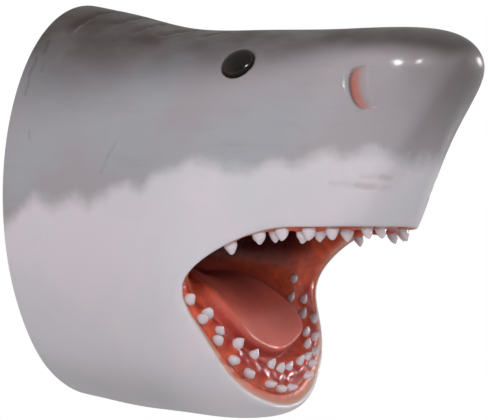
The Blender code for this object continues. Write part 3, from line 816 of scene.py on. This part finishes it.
class Shading(NodeMaker):
    """A material's node tree, with short ways to add what the paints need."""

    def __init__(self, name):
        self.material = bpy.data.materials.new(name)
        self.material.use_nodes = True
        super().__init__(self.material.node_tree)
        self.shader = self.tree.nodes["Principled BSDF"]
        self.coords = self.add("ShaderNodeTexCoord").outputs["Object"]

    def put(self, name, value):
        """Fills one of the shader's sockets."""
        self.set(self.shader.inputs[name], value)

    def attribute(self, name):
        return self.add("ShaderNodeAttribute", attribute_name=name).outputs["Fac"]

    def noise(self, scale, detail=2.0, roughness=0.5, coords=None):
        return self.add("ShaderNodeTexNoise", {
            "Vector": coords or self.coords, "Scale": scale, "Detail": detail, "Roughness": roughness,
        }).outputs["Fac"]

    def range(self, value, low, high, to_low=0.0, to_high=1.0, smooth=True):
        return self.add("ShaderNodeMapRange", {
            "Value": value, "From Min": low, "From Max": high, "To Min": to_low, "To Max": to_high,
        }, interpolation_type="SMOOTHSTEP" if smooth else "LINEAR").outputs["Result"]

    def band(self, value, low, full, fall, end):
        """0 up to low, 1 from full to fall, and 0 again from end."""
        return self.math("MULTIPLY", self.range(value, low, full), self.range(value, fall, end, 1.0, 0.0))

    def mix(self, factor, first, second):
        return self.add("ShaderNodeMix", {"Factor": factor, 6: first, 7: second}, data_type="RGBA").outputs[2]

    def bump(self, height, strength, distance, normal=None):
        made = self.add("ShaderNodeBump", {"Height": height, "Strength": strength, "Distance": distance})
        if normal is not None:
            self.set(made.inputs["Normal"], normal)
        return made.outputs["Normal"]

    def one_side(self):
        """Object coordinates folded onto the +Y side."""
        x, y, z = self.parts(self.coords)
        return self.vector(x, self.math("ABSOLUTE", y), z)

    def reach(self, coords, middle, axis):
        """How far the coordinates lie from the middle along an axis."""
        offset = self.vector_math("SUBTRACT", coords, middle)
        return self.vector_math("DOT_PRODUCT", offset, axis, output="Value")

    def stroke(self, coords, start, end, width):
        """A soft mask along a straight stroke from start to end."""
        start = Vector(start)
        step = Vector(end) - start
        share = self.add("ShaderNodeClamp", {"Value": self.reach(coords, start, step / step.length_squared)})
        spot = self.scaled(step, share.outputs["Result"])
        away = self.vector_math("DISTANCE", self.vector_math("SUBTRACT", coords, start), spot, output="Value")
        return self.range(away, width * 0.25, width * 1.6, 1.0, 0.0)

    def wavering(self, coords, scale, distance):
        """The coordinates, moved a little by noise, so that what is drawn on them isn't straight."""
        made = self.add("ShaderNodeTexNoise", {"Vector": coords, "Scale": scale})
        centred = self.vector_math("SUBTRACT", made.outputs["Color"], (0.5, 0.5, 0.5))
        return self.vector_math("MULTIPLY_ADD", centred, (distance, distance, distance), coords)

    def strokes(self, coords, rows):
        """The mask of several strokes, each with its width and strength."""
        masks = None
        for start, end, width, strength in rows:
            mask = self.math("MULTIPLY", self.stroke(coords, start, end, width), strength)
            masks = mask if masks is None else self.math("MAXIMUM", masks, mask)
        return masks


def eye_rim(s, coords):
    """A dark outline under the edge of each eye."""
    face = bpy.context.scene.shark_face_sizes
    middle, first, second, _ = feature_axes(EYE_PLACE, face.eye_tilt)
    reach_first = s.reach(coords, middle, first / (face.eye_length / 2))
    reach_second = s.reach(coords, middle, second / (face.eye_width / 2))
    squares = s.math("MULTIPLY_ADD", reach_second, reach_second, s.math("MULTIPLY", reach_first, reach_first))
    return s.range(s.math("SQRT", squares), 1.01, 1.09, 1.0, 0.0)


def tinted(colour, *factors):
    """A colour times one factor, or one for each channel, kept within 1."""
    each = factors if len(factors) == 3 else factors * 3
    return tuple(min(1.0, c * f) for c, f in zip(colour, each))


def skin_colour(s, over):
    """Grey airbrushed over white, darker along the crown and the snout's tip, with painted highlights on the
    folds' ridges and painted shade in their hollows.
    """
    paint = bpy.context.scene.shark_paint

    # The grey runs down into the white in a soft ragged edge.
    ragged = s.math("ADD", over, s.math("MULTIPLY_ADD", s.noise(16.0, 3.0, 0.55), 0.036, -0.018))
    ragged = s.math("ADD", ragged, s.math("MULTIPLY_ADD", s.noise(70.0, 2.0, 0.5), 0.012, -0.006))
    grey_share = s.range(ragged, -0.015, 0.017)
    mottle = s.noise(8.0, 3.0, 0.5)
    cool = tinted(paint.grey, 0.98, 1.06, 1.08)
    warm = tinted(paint.grey, 0.98, 0.95, 0.97)
    grey = s.mix(s.range(mottle, 0.35, 0.66), warm, cool)
    streaks = s.noise(1.0, 3.0, 0.6, s.vector_math("MULTIPLY", s.coords, (9.0, 40.0, 60.0)))
    grey = s.mix(s.range(streaks, 0.50, 0.85, 0.0, 0.45), grey, tinted(paint.grey, 0.80))
    tip_share = s.math("MULTIPLY", s.attribute("tip"), 0.80)
    grey = s.mix(tip_share, grey, tinted(paint.crown, 1.8))
    # The crown's darkening is partly its dark brown-grey paint and partly painted shade on the top.
    patchy = s.range(s.noise(13.0, 3.0), 0.25, 0.7, 0.78, 1.0)
    crown_share = s.math("MULTIPLY", s.attribute("crown"), patchy)
    grey = s.mix(crown_share, grey, paint.crown)
    # Painted shade in the folds' hollows and painted highlights along their ridges.
    grey = s.mix(s.math("MULTIPLY", s.attribute("fold_painted_shade"), 0.55), grey, tinted(paint.crown, 0.7))
    grey = s.mix(s.math("MULTIPLY", s.attribute("fold_painted_highlight"), 0.45), grey, tinted(paint.grey, 0.9))
    rose = tinted(paint.white, 1.02, 0.98, 1.0)
    shade = tinted(paint.white, 0.93, 0.95, 0.97)
    white = s.mix(s.range(s.noise(7.0, 4.0, 0.6), 0.35, 0.65), rose, shade)
    forward, _, up = s.parts(s.coords)
    # Painted shade: the white is darkened low on the jaw near the wall, on the underside turned from the
    # light.
    under = s.math("MULTIPLY", s.range(up, -0.315, -0.20, 1.0, 0.0), s.range(forward, 0.17, 0.30, 1.0, 0.0))
    white = s.mix(under, white, tinted(paint.white, 0.72))
    return s.mix(grey_share, white, grey)


def mouth_colour(s, station, skin):
    """Cream lips, orange gums that are red between the teeth, the tongue, and the dark palate and throat,
    which are partly dark red paint and partly painted shade.
    """
    paint = bpy.context.scene.shark_paint
    lip = s.mix(s.range(station, 7.72, 8.05), skin, paint.lip)
    blotch = s.noise(60.0, 3.0, 0.6)
    orange = s.mix(s.range(blotch, 0.35, 0.7), paint.gum, tinted(paint.gum, 1.5))
    colour = s.mix(s.range(station, 8.02, 8.55), lip, orange)
    patches = s.range(blotch, 0.25, 0.6, 0.5, 1.0)
    red_share = s.math("MULTIPLY", s.range(s.attribute("between"), 0.15, 0.8), patches)
    colour = s.mix(red_share, colour, paint.crimson)
    shaded = tinted(paint.tongue, 0.82)
    inner = s.mix(s.range(s.noise(14.0, 3.0), 0.3, 0.7), paint.tongue, shaded)
    colour = s.mix(s.range(station, 11.9, 12.5), colour, inner)
    # Painted shade: the groove along the tongue's edge is darkened towards crimson.
    colour = s.mix(s.range(s.attribute("seam"), 0.1, 0.9, 0.0, 0.35), colour, paint.crimson)
    # Painted shade deep in the mouth, over the palate's and the throat's own dark red.
    return s.mix(s.attribute("deep_red_and_shade"), colour, paint.deep_red_and_shade)


def painted_head_material(name, coat, shine):
    """Airbrushed grey over white, creamy lips and a red mouth, under varnish."""
    paint = bpy.context.scene.shark_paint
    s = Shading(name)
    over = s.attribute("over_edge")
    station = s.attribute("station")
    coords = s.one_side()
    wavering = s.wavering(coords, 34.0, 0.008)
    # The creases over the lip are painted a darker red-brown: partly their own paint, partly painted shade in
    # them.
    wrinkles = s.strokes(wavering, [
        (start, end, CREASE_WIDTH, strength)
        for line in CREASES
        for start, end, strength in zip(line[:-1], line[1:], (0.16, 0.32, 0.22))
    ])
    skin = s.mix(wrinkles, skin_colour(s, over), (0.300, 0.215, 0.205))
    colour = mouth_colour(s, station, skin)

    # Nostrils, the eye's dark outline, and thin dark lines of painted shade in the slits, the marks and along
    # the nostrils' back edges.
    colour = s.mix(s.attribute("nostril"), colour, paint.nostril)
    # The slits and thin marks are shallow grooves made only by the bump; their dark lines are painted shade.
    marks = s.strokes(wavering, SLITS)
    rim = s.math("MULTIPLY", eye_rim(s, coords), s.math("GREATER_THAN", over, 0.02))
    dark = s.math("MAXIMUM", s.math("MAXIMUM", marks, rim), s.attribute("nostril_edge_shade"))
    colour = s.mix(dark, colour, (0.035, 0.024, 0.022))
    s.put("Base Color", colour)

    smudge = s.noise(20.0, 3.0, 0.6)
    dry = s.range(smudge, 0.3, 0.7, 0.42, 0.52)
    wet = s.range(smudge, 0.3, 0.7, 0.22, 0.34)
    gums = s.band(station, 8.1, 8.8, 12.2, 13.2)
    s.put("Roughness", s.range(gums, 0.0, 1.0, dry, wet, False))
    s.put("Specular IOR Level", shine)
    s.put("Coat Weight", s.range(s.attribute("varnish"), 0.0, 1.0, coat * 0.15, coat, False))
    s.put("Coat Roughness", 0.12)

    fine = s.noise(420.0, 2.0, 0.5)
    pores = s.range(s.noise(150.0, 1.0, 0.4), 0.30, 0.42)
    waves = s.noise(40.0, 2.0, 0.5)
    normal = s.bump(waves, 0.10, 0.0030)
    normal = s.bump(pores, 0.05, 0.0008, normal)
    normal = s.bump(fine, 0.06, 0.0004, normal)
    normal = s.bump(s.math("MULTIPLY", s.math("MAXIMUM", marks, wrinkles), -1.0), 0.6, 0.0014, normal)
    s.put("Normal", normal)
    return s.material


def tooth_material():
    """Hard glossy off-white, pinker at the root and slightly blotched."""
    paint = bpy.context.scene.shark_paint
    s = Shading("tooth_enamel")
    root = s.attribute("root")
    blotch = s.noise(260.0, 3.0, 0.6)
    pale = s.mix(s.range(blotch, 0.35, 0.7), paint.tooth, tinted(paint.tooth, 1.12))
    rosy = s.mix(s.range(blotch, 0.4, 0.7, 0.2, 0.8), pale, (0.50, 0.33, 0.36))
    body = s.mix(s.range(root, 0.30, 0.70), pale, rosy)
    s.put("Base Color", s.mix(s.range(root, 0.66, 0.76), body, (0.10, 0.02, 0.02)))
    s.put("Roughness", s.range(blotch, 0.3, 0.7, 0.16, 0.28))
    s.put("Coat Weight", 0.5)
    s.put("Coat Roughness", 0.06)
    s.put("Normal", s.bump(s.noise(500.0, 2.0), 0.2, 0.0006))
    return s.material


def eye_material():
    """Near-black glass with a painted reflection as a thin brown inner ring, and a painted dim brown glow of
    light low in it.
    """
    paint = bpy.context.scene.shark_paint
    s = Shading("eye_gloss")
    ring = s.attribute("ring")
    # Painted reflection: a thin brown ring just inside the dome's edge.
    band = s.band(ring, 0.80, 0.85, 0.87, 0.92)
    patchy = s.math("MULTIPLY", band, s.range(s.noise(180.0, 2.0), 0.3, 0.7, 0.5, 1.0))
    # Painted light: a dim brown glow low in the dome.
    glow = s.math("MULTIPLY", s.attribute("glow"), s.range(s.noise(120.0, 2.0), 0.3, 0.7, 0.5, 1.0))
    colour = s.mix(patchy, paint.eye, paint.eye_glow)
    colour = s.mix(s.math("MULTIPLY", glow, 0.5), colour, paint.eye_glow)
    s.put("Base Color", colour)
    s.put("Roughness", 0.06)
    s.put("Specular IOR Level", 0.22)
    return s.material


def bare_resin_material():
    """The unpainted casting behind: pale, matt and slightly cloudy."""
    paint = bpy.context.scene.shark_paint
    s = Shading("bare_resin")
    cloud = s.noise(14.0, 4.0, 0.6)
    dark = tinted(paint.resin, 0.82)
    s.put("Base Color", s.mix(s.range(cloud, 0.3, 0.7), dark, paint.resin))
    s.put("Roughness", s.range(cloud, 0.3, 0.7, 0.55, 0.72))
    normal = s.bump(s.noise(60.0, 4.0, 0.65), 0.35, 0.002)
    s.put("Normal", s.bump(s.noise(320.0, 2.0), 0.2, 0.0006, normal))
    return s.material


def floor_material():
    paint = bpy.context.scene.shark_paint
    s = Shading("pale_floor")
    s.put("Base Color", paint.floor)
    s.put("Roughness", 0.9)
    return s.material


# The hollow behind.


def keyhole_outline(sizes, side):
    """A round entry with a narrow slot above it, as Y and Z."""
    share_out = sizes.keyhole_spacing / sizes.rim_width
    height = sizes.rim_height / 2 * math.sqrt(1.0 - share_out**2) - sizes.keyhole_inset
    middle = side * sizes.keyhole_spacing / 2
    half_slot = sizes.keyhole_slot / 2
    radius = sizes.keyhole_head / 2
    start = math.asin(half_slot / radius)
    outline = []
    for i in range(ENTRY_STEPS + 1):
        angle = math.pi / 2 + start + i * (2.0 * math.pi - 2.0 * start) / ENTRY_STEPS
        outline.append((middle + radius * math.cos(angle), height + radius * math.sin(angle)))
    for i in range(SLOT_STEPS + 1):
        angle = math.pi * i / SLOT_STEPS
        outline.append((middle + half_slot * math.cos(angle),
                        height + sizes.keyhole_length + half_slot * math.sin(angle)))
    return outline


def hollow_rings(count):
    """Rings of the inner surface, one wall behind the skin and the mouth's lining."""
    sizes = bpy.context.scene.shark_head_sizes
    across = np.arange(count) * LINES_ROUND / count
    fine = np.linspace(0.02, 15.9, 640)
    grid = surface(across, fine)
    inner = grid - sizes.wall * normals_of(grid)

    def ring(stations):
        at = np.interp(stations, fine, np.arange(len(fine)))
        low = np.minimum(np.floor(at).astype(int), len(fine) - 2)
        t = (at - low)[:, None]
        column = np.arange(count)
        return inner[low, column] * (1.0 - t) + inner[low + 1, column] * t

    from_crown = LINES_ROUND / 2 - np.abs(across - LINES_ROUND / 2)
    front = 7.0 - smooth_step(from_crown, 4.0, 7.0)
    rings = [ring(share * front) for share in np.linspace(0.0, 1.0, 45)[2:]]
    rings += [ring(np.full(count, station)) for station in np.linspace(BEHIND_GUM, 15.4, 16)]
    return across, rings


def back_mesh():
    """The flange with its keyholes, and the hollow's inner surface, open only at the rim's edge."""
    sizes = bpy.context.scene.shark_head_sizes
    across, rings = hollow_rings(sizes.back_columns)
    rim = surface(across, (0.0, 0.01))[0]
    rim[:, 0] = 0.0
    inward = -unit(rim)
    flange = rim + sizes.flange_width * inward
    root = rim + sizes.wall * inward
    root[:, 0] = sizes.flange_thickness
    bm = bmesh.new()

    def loop(points):
        return [bm.verts.new(p) for p in points]

    def wall(first, second):
        for i in range(len(first)):
            j = (i + 1) % len(first)
            bm.faces.new((first[i], first[j], second[j], second[i]))

    def plate(loops):
        edges = []
        for ring in loops:
            for i in range(len(ring)):
                edges.append(bm.edges.new((ring[i - 1], ring[i])))
        bmesh.ops.triangle_fill(bm, edges=edges, use_beauty=True, use_dissolve=False)

    front_shift = np.array((sizes.flange_thickness, 0.0, 0.0))
    rim_back, inner_back = loop(rim), loop(flange)
    root_front, inner_front = loop(root), loop(flange + front_shift)
    holes_back, holes_front = [], []
    for side in (1, -1):
        outline = keyhole_outline(sizes, side)
        holes_back.append(loop([(0.0, y, z) for y, z in outline]))
        holes_front.append(loop([(sizes.flange_thickness, y, z) for y, z in outline]))
    plate([rim_back, inner_back, *holes_back])
    plate([root_front, inner_front, *holes_front])
    wall(inner_back, inner_front)
    for back, front in zip(holes_back, holes_front):
        wall(back, front)
    previous = root_front
    for ring in rings:
        verts = loop(ring)
        wall(previous, verts)
        previous = verts
    tip = bm.verts.new(Vector(to_metres(np.array(THROAT, float))) - Vector((sizes.wall, 0.0, 0.0)))
    for i in range(len(previous)):
        bm.faces.new((previous[i], previous[(i + 1) % len(previous)], tip))
    bmesh.ops.recalc_face_normals(bm, faces=bm.faces)
    back_faces = [face for face in bm.faces if all(v.co.x == 0.0 for v in face.verts)]
    if back_faces and back_faces[0].normal.x > 0:
        bmesh.ops.reverse_faces(bm, faces=bm.faces)
    mesh = bpy.data.meshes.new("hollow_back")
    bm.to_mesh(mesh)
    bm.free()
    mesh.shade_smooth()
    mesh.set_sharp_from_angle(angle=math.radians(35.0))
    return mesh


# Teeth by Geometry Nodes.


def tooth_rows_tree():
    """One blunt tooth, shaped by a rule from a ball and set on every point of the input mesh."""
    tree = bpy.data.node_groups.new("tooth_rows", "GeometryNodeTree")
    for name, direction, kind, default in (
        ("Geometry", "INPUT", "Geometry", None),
        ("Width", "INPUT", "Float", 0.018),
        ("Height", "INPUT", "Float", 0.016),
        ("Sink", "INPUT", "Float", 0.005),
        ("Unevenness", "INPUT", "Float", TOOTH_UNEVENNESS),
        ("Seed", "INPUT", "Int", TOOTH_SEED),
        ("Material", "INPUT", "Material", None),
        ("Geometry", "OUTPUT", "Geometry", None),
    ):
        made = tree.interface.new_socket(name=name, in_out=direction, socket_type="NodeSocket" + kind)
        if default is not None:
            made.default_value = default
    t = NodeMaker(tree)
    given = t.add("NodeGroupInput").outputs

    # The ball is drawn in towards its top, and is flatter from front to back.
    ball = t.add("GeometryNodeMeshUVSphere", {"Segments": 20, "Rings": 14, "Radius": 1.0})
    x, y, z = t.parts(t.add("GeometryNodeInputPosition").outputs[0])
    rise = t.math("MULTIPLY_ADD", z, 0.5, 0.5)
    narrowing = t.math("SUBTRACT", 1.14, t.math("MULTIPLY", t.math("POWER", rise, 1.8), 0.62))
    half_width = t.math("MULTIPLY", t.math("MULTIPLY", given["Width"], 0.5), narrowing)
    whole = t.math("ADD", given["Height"], given["Sink"])
    height = t.math("SUBTRACT", t.math("MULTIPLY", rise, whole), given["Sink"])
    flat_y = t.math("MULTIPLY", t.math("MULTIPLY", y, half_width), 0.72)
    place = t.vector(t.math("MULTIPLY", x, half_width), flat_y, height)
    shape = t.add("GeometryNodeSetPosition", {"Geometry": ball.outputs["Mesh"], "Position": place})
    mark = t.add("GeometryNodeStoreNamedAttribute", {
        "Geometry": shape.outputs[0], "Name": "root", "Value": t.math("SUBTRACT", 1.0, rise),
    }, data_type="FLOAT", domain="POINT")

    # One tooth on each point, turned and sized by the point's own values.
    turn = t.add("GeometryNodeInputNamedAttribute", {"Name": "turn"}, data_type="FLOAT_VECTOR")
    size = t.add("GeometryNodeInputNamedAttribute", {"Name": "size"}, data_type="FLOAT").outputs["Attribute"]
    rotation = t.add("FunctionNodeEulerToRotation", {0: turn.outputs["Attribute"]})
    spread = t.add("GeometryNodeInstanceOnPoints", {
        "Points": given["Geometry"], "Instance": mark.outputs[0],
        "Rotation": rotation.outputs[0], "Scale": t.vector(size, size, size),
    })
    plain = t.add("GeometryNodeRealizeInstances", {"Geometry": spread.outputs[0]})

    # A little unevenness, so that no two teeth are the same.
    noise_values = {"Scale": 130.0, "Detail": 1.5, "W": given["Seed"]}
    uneven = t.add("ShaderNodeTexNoise", noise_values, noise_dimensions="4D")
    centred = t.vector_math("SUBTRACT", uneven.outputs["Color"], (0.5, 0.5, 0.5))
    offset = t.scaled(centred, given["Unevenness"])
    nudge = t.add("GeometryNodeSetPosition", {"Geometry": plain.outputs[0], "Offset": offset})
    smooth = t.add("GeometryNodeSetShadeSmooth", {"Geometry": nudge.outputs[0]})
    painted = t.add("GeometryNodeSetMaterial", {"Geometry": smooth.outputs[0], "Material": given["Material"]})
    t.add("NodeGroupOutput", {"Geometry": painted.outputs[0]})
    return tree


def set_input(modifier, name, value):
    """Sets a modifier's input by the identifier of the socket with that name."""
    for item in modifier.node_group.interface.items_tree:
        if item.item_type == "SOCKET" and item.in_out == "INPUT" and item.name == name:
            modifier[item.identifier] = value
            return
    raise RuntimeError(f"the tree has no input named {name}")


def tooth_axis(out, along_way, lower, along):
    """The way a tooth points: lower teeth turn up and upper ones hang, and outer rows lean to the lip."""
    upright = Vector((0.0, 0.0, 0.5 if lower else -1.5))
    outer = along < 10.3
    lean = (0.15 if outer else 0.10) if lower else (0.30 if outer else 0.05)
    return (out + upright - lean * along_way).normalized()


def tooth_points_mesh():
    """A point for every tooth, with its turn and its size."""
    places, turns, sizes = [], [], []
    for across, along, size, twist, lower in tooth_places():
        point, out, round_way, along_way = local_frame(across, along)
        axis = tooth_axis(out, along_way, lower, along)
        side = (round_way - round_way.dot(axis) * axis).normalized()
        basis = Matrix((side, axis.cross(side), axis)).transposed()
        turned = basis @ Matrix.Rotation(math.radians(twist), 3, "Z")
        places.append(point)
        turns.append(turned.to_euler("XYZ"))
        sizes.append(size)
    mesh = bpy.data.meshes.new("tooth_points")
    mesh.from_pydata([tuple(p) for p in places], [], [])
    turn = mesh.attributes.new("turn", "FLOAT_VECTOR", "POINT")
    turn.data.foreach_set("vector", [v for euler in turns for v in euler])
    size = mesh.attributes.new("size", "FLOAT", "POINT")
    size.data.foreach_set("value", sizes)
    return mesh


# The stage.


def floor_disc():
    """A wide pale disc under the head."""
    bm = bmesh.new()
    level = Matrix.Translation((0.0, 0.0, FLOOR_LEVEL))
    bmesh.ops.create_circle(bm, cap_ends=True, segments=128, radius=FLOOR_RADIUS, matrix=level)
    mesh = bpy.data.meshes.new("floor")
    bm.to_mesh(mesh)
    bm.free()
    floor = bpy.data.objects.new("floor", mesh)
    bpy.context.scene.collection.objects.link(floor)
    mesh.materials.append(floor_material())
    return floor


def studio_world():
    """Full white behind the head, and a dimmer white light on it."""
    world = bpy.data.worlds.new("studio")
    world.use_nodes = True
    sky = NodeMaker(world.node_tree)
    seen = sky.add("ShaderNodeMapRange", {
        "Value": sky.add("ShaderNodeLightPath").outputs["Is Camera Ray"], "To Min": STUDIO_LIGHT,
    })
    background = sky.tree.nodes["Background"]
    sky.set(background.inputs["Color"], (1.0, 1.0, 1.0))
    sky.set(background.inputs["Strength"], seen.outputs["Result"])
    return world


def add_light(name, place, aim, width, height, spread, power, gloss_only):
    """A rectangular light that is turned to its aim and isn't seen itself."""
    data = bpy.data.lights.new(name, "AREA")
    data.shape = "RECTANGLE"
    data.size = width
    data.size_y = height
    # A grid over a light narrows its beam, and the power given is the bare light's.
    half = math.radians(spread / 2)
    data.spread = 2.0 * half
    data.energy = power * (1.0 - half / math.tan(half))
    light = bpy.data.objects.new(name, data)
    bpy.context.scene.collection.objects.link(light)
    light.location = place
    light.visible_camera = False
    light.visible_glossy = gloss_only
    light.visible_diffuse = not gloss_only
    away = Vector(place) - Vector(aim)
    light.rotation_euler = away.to_track_quat("Z", "Y").to_euler()


def photo_camera():
    """The camera at the photograph's angle."""
    level = math.cos(CAMERA_ELEVATION)
    right = Vector((math.cos(CAMERA_AZIMUTH), math.sin(CAMERA_AZIMUTH), 0.0))
    back = Vector((right.y * level, -right.x * level, math.sin(CAMERA_ELEVATION)))
    up = back.cross(right)
    data = bpy.data.cameras.new("camera")
    data.lens = CAMERA_LENS
    data.sensor_width = CAMERA_SENSOR
    data.clip_start = 0.05
    data.clip_end = 200.0
    camera = bpy.data.objects.new("camera", data)
    bpy.context.scene.collection.objects.link(camera)
    turn = Matrix((right, up, back)).transposed()
    camera.matrix_world = Matrix.Translation(CAMERA_TARGET + CAMERA_DISTANCE * back) @ turn.to_4x4()
    return camera


# Operators.


class SHARK_OT_make_skin(bpy.types.Operator):
    """Make the painted skin from the wall rim to the turned-in lips"""

    bl_idname = "shark.make_skin"
    bl_label = "Make skin"

    def execute(self, context):
        across = column_places(context.scene.shark_head_sizes.columns)
        along = np.concatenate([skin_rows(), mouth_rows()[1:]])
        placed, paint = head_grid(across, along)
        seam = len(skin_rows())
        material = painted_head_material("shark_paint", 0.30, 0.36)
        lining = painted_head_material("mouth_paint", 0.14, 0.16)
        skin_paint = {key: values[:seam] for key, values in paint.items()}
        mesh = grid_mesh("head_skin", placed[:seam], skin_paint, False)
        add_piece("head_skin", mesh, material, HEAD_NODE)
        mouth_paint = {key: values[seam - 1 :] for key, values in paint.items()}
        mesh = grid_mesh("mouth_lining", placed[seam - 1 :], mouth_paint, True)
        add_piece("mouth_lining", mesh, lining, HEAD_NODE)
        return {"FINISHED"}


class SHARK_OT_make_back(bpy.types.Operator):
    """Make the flange with its keyholes and the hollow behind"""

    bl_idname = "shark.make_back"
    bl_label = "Make hollow back"

    def execute(self, context):
        material = bare_resin_material()
        add_piece("hollow_back", back_mesh(), material, HEAD_NODE)
        return {"FINISHED"}


class SHARK_OT_make_teeth(bpy.types.Operator):
    """Make the rows of blunt teeth on the gums"""

    bl_idname = "shark.make_teeth"
    bl_label = "Make teeth"

    def execute(self, context):
        sizes = context.scene.shark_mouth_sizes
        material = tooth_material()
        source = bpy.data.objects.new("tooth_points", tooth_points_mesh())
        context.scene.collection.objects.link(source)
        modifier = source.modifiers.new("tooth_rows", "NODES")
        modifier.node_group = tooth_rows_tree()
        for name, value in (
            ("Width", sizes.tooth_width), ("Height", sizes.tooth_height), ("Sink", sizes.tooth_sink),
            ("Unevenness", TOOTH_UNEVENNESS), ("Seed", TOOTH_SEED), ("Material", material),
        ):
            set_input(modifier, name, value)
        graph = context.evaluated_depsgraph_get()
        graph.update()
        mesh = bpy.data.meshes.new_from_object(source.evaluated_get(graph))
        bpy.data.objects.remove(source)
        mesh.name = "teeth"
        add_piece("teeth", mesh, material, HEAD_NODE)
        return {"FINISHED"}


class SHARK_OT_make_eyes(bpy.types.Operator):
    """Make the two glossy set-in eyes"""

    bl_idname = "shark.make_eyes"
    bl_label = "Make eyes"

    def execute(self, context):
        face = context.scene.shark_face_sizes
        material = eye_material()
        middle, first, second, out = feature_axes(EYE_PLACE, face.eye_tilt)
        angles = 2.0 * math.pi * np.arange(EYE_SEGMENTS) / EYE_SEGMENTS
        for side, node in EYE_NODES.items():
            points = np.zeros((EYE_ROWS + 1, EYE_SEGMENTS, 3))
            rings, glow = np.zeros((2, EYE_ROWS + 1, EYE_SEGMENTS))
            for i in range(EYE_ROWS + 1):
                # The first rows are the dome's edge, sunk into the seat.
                share = 1.0 - i / EYE_ROWS
                height, reach = EYE_EDGE[min(i, 1)], 1.0
                if i >= len(EYE_EDGE):
                    dome = face.eye_bulge * math.sqrt(1.0 - share**2.2)
                    height = max(dome - 0.0006, height)
                    reach = min(share * EYE_ROWS / (EYE_ROWS - len(EYE_EDGE)), 1.0)
                u = np.cos(angles) * reach
                v = np.sin(angles) * reach
                spots = middle + np.outer(u, first) * face.eye_length / 2
                spots += np.outer(v, second) * face.eye_width / 2
                points[i] = (spots + out * height) * (1, side, 1)
                rings[i] = reach
                # Where the painted glow of light lies, low in the dome.
                glow[i] = smooth_step(-v * 0.8 - u * 0.6, 0.0, 0.9) * (reach < 0.98)
            if side > 0:
                points, rings, glow = points[:, ::-1], rings[:, ::-1], glow[:, ::-1]
            mesh = grid_mesh(node + "_dome", points, {"ring": rings, "glow": glow}, True)
            add_piece(node + "_dome", mesh, material, node)
        return {"FINISHED"}


class SHARK_OT_make_stage(bpy.types.Operator):
    """Make the pale floor, the soft lights and the camera"""

    bl_idname = "shark.make_stage"
    bl_label = "Make stage"

    def execute(self, context):
        scene = context.scene
        floor = floor_disc()
        scene.world = studio_world()
        scene.view_settings.view_transform = "Standard"

        eye = feature_axes(EYE_PLACE, 0.0)[0] * (1, -1, 1)
        snout = np.array(SNOUT_BUMP) * (1, -1, 1)
        head = (0.25, 0.0, 0.0)
        mouth = (0.30, 0.02, -0.18)
        for light in (
            ("key", (1.1, -3.0, 1.7), head, 1.4, 1.0, 180.0, 45.0, False),
            ("front_light", (2.5, -0.5, 1.3), head, 0.9, 0.63, 180.0, 9.0, False),
            ("side_light", (1.2, 2.3, 0.3), head, 1.0, 0.7, 180.0, 13.0, False),
            ("mouth_light", (1.5, -2.1, -0.4), mouth, 0.5, 0.5, 22.0, 11.0, False),
            ("snout_light", (0.578, -0.874, 0.570), snout, 0.26, 0.34, 6.0, 90.0, True),
            ("eye_light", (0.34, -0.73, 2.23), eye, 0.24, 0.24, 5.0, 12.0, True),
            ("tip_light", (1.34, 2.29, 0.37), (0.60, 0.02, 0.16), 0.50, 1.30, 14.0, 45.0, True),
            ("tongue_light", (1.60, 1.99, -0.19), (0.305, 0.0, -0.21), 0.30, 0.30, 14.0, 30.0, True),
            ("back_light", (-1.6, 2.4, 1.2), head, 1.2, 0.84, 180.0, 16.0, False),
        ):
            add_light(*light)

        scene.camera = photo_camera()
        return {"FINISHED"}


class SHARK_PT_panel(bpy.types.Panel):
    """Lists the head's pieces and their sizes"""

    bl_label = "Shark Head"
    bl_idname = "SHARK_PT_panel"
    bl_space_type = "VIEW_3D"
    bl_region_type = "UI"
    bl_category = "Shark Head"

    def draw(self, context):
        layout = self.layout
        for operator in OPERATORS:
            layout.operator(operator.bl_idname)
        for name, _ in GROUPS:
            group = getattr(context.scene, name)
            box = layout.box()
            for key in group.__annotations__:
                box.prop(group, key)


OPERATORS = (
    SHARK_OT_make_skin,
    SHARK_OT_make_back,
    SHARK_OT_make_teeth,
    SHARK_OT_make_eyes,
    SHARK_OT_make_stage,
)
GROUPS = (
    ("shark_head_sizes", HeadSizes),
    ("shark_mouth_sizes", MouthSizes),
    ("shark_face_sizes", FaceSizes),
    ("shark_paint", PaintColours),
)


def register():
    for name, group in GROUPS:
        bpy.utils.register_class(group)
        setattr(bpy.types.Scene, name, bpy.props.PointerProperty(type=group))
    for operator in OPERATORS:
        bpy.utils.register_class(operator)
    bpy.utils.register_class(SHARK_PT_panel)


def unregister():
    bpy.utils.unregister_class(SHARK_PT_panel)
    for operator in reversed(OPERATORS):
        bpy.utils.unregister_class(operator)
    for name, group in reversed(GROUPS):
        delattr(bpy.types.Scene, name)
        bpy.utils.unregister_class(group)


def main():
    register()
    bpy.ops.shark.make_skin()
    bpy.ops.shark.make_back()
    bpy.ops.shark.make_teeth()
    bpy.ops.shark.make_eyes()
    bpy.ops.shark.make_stage()


if __name__ == "__main__":
    main()
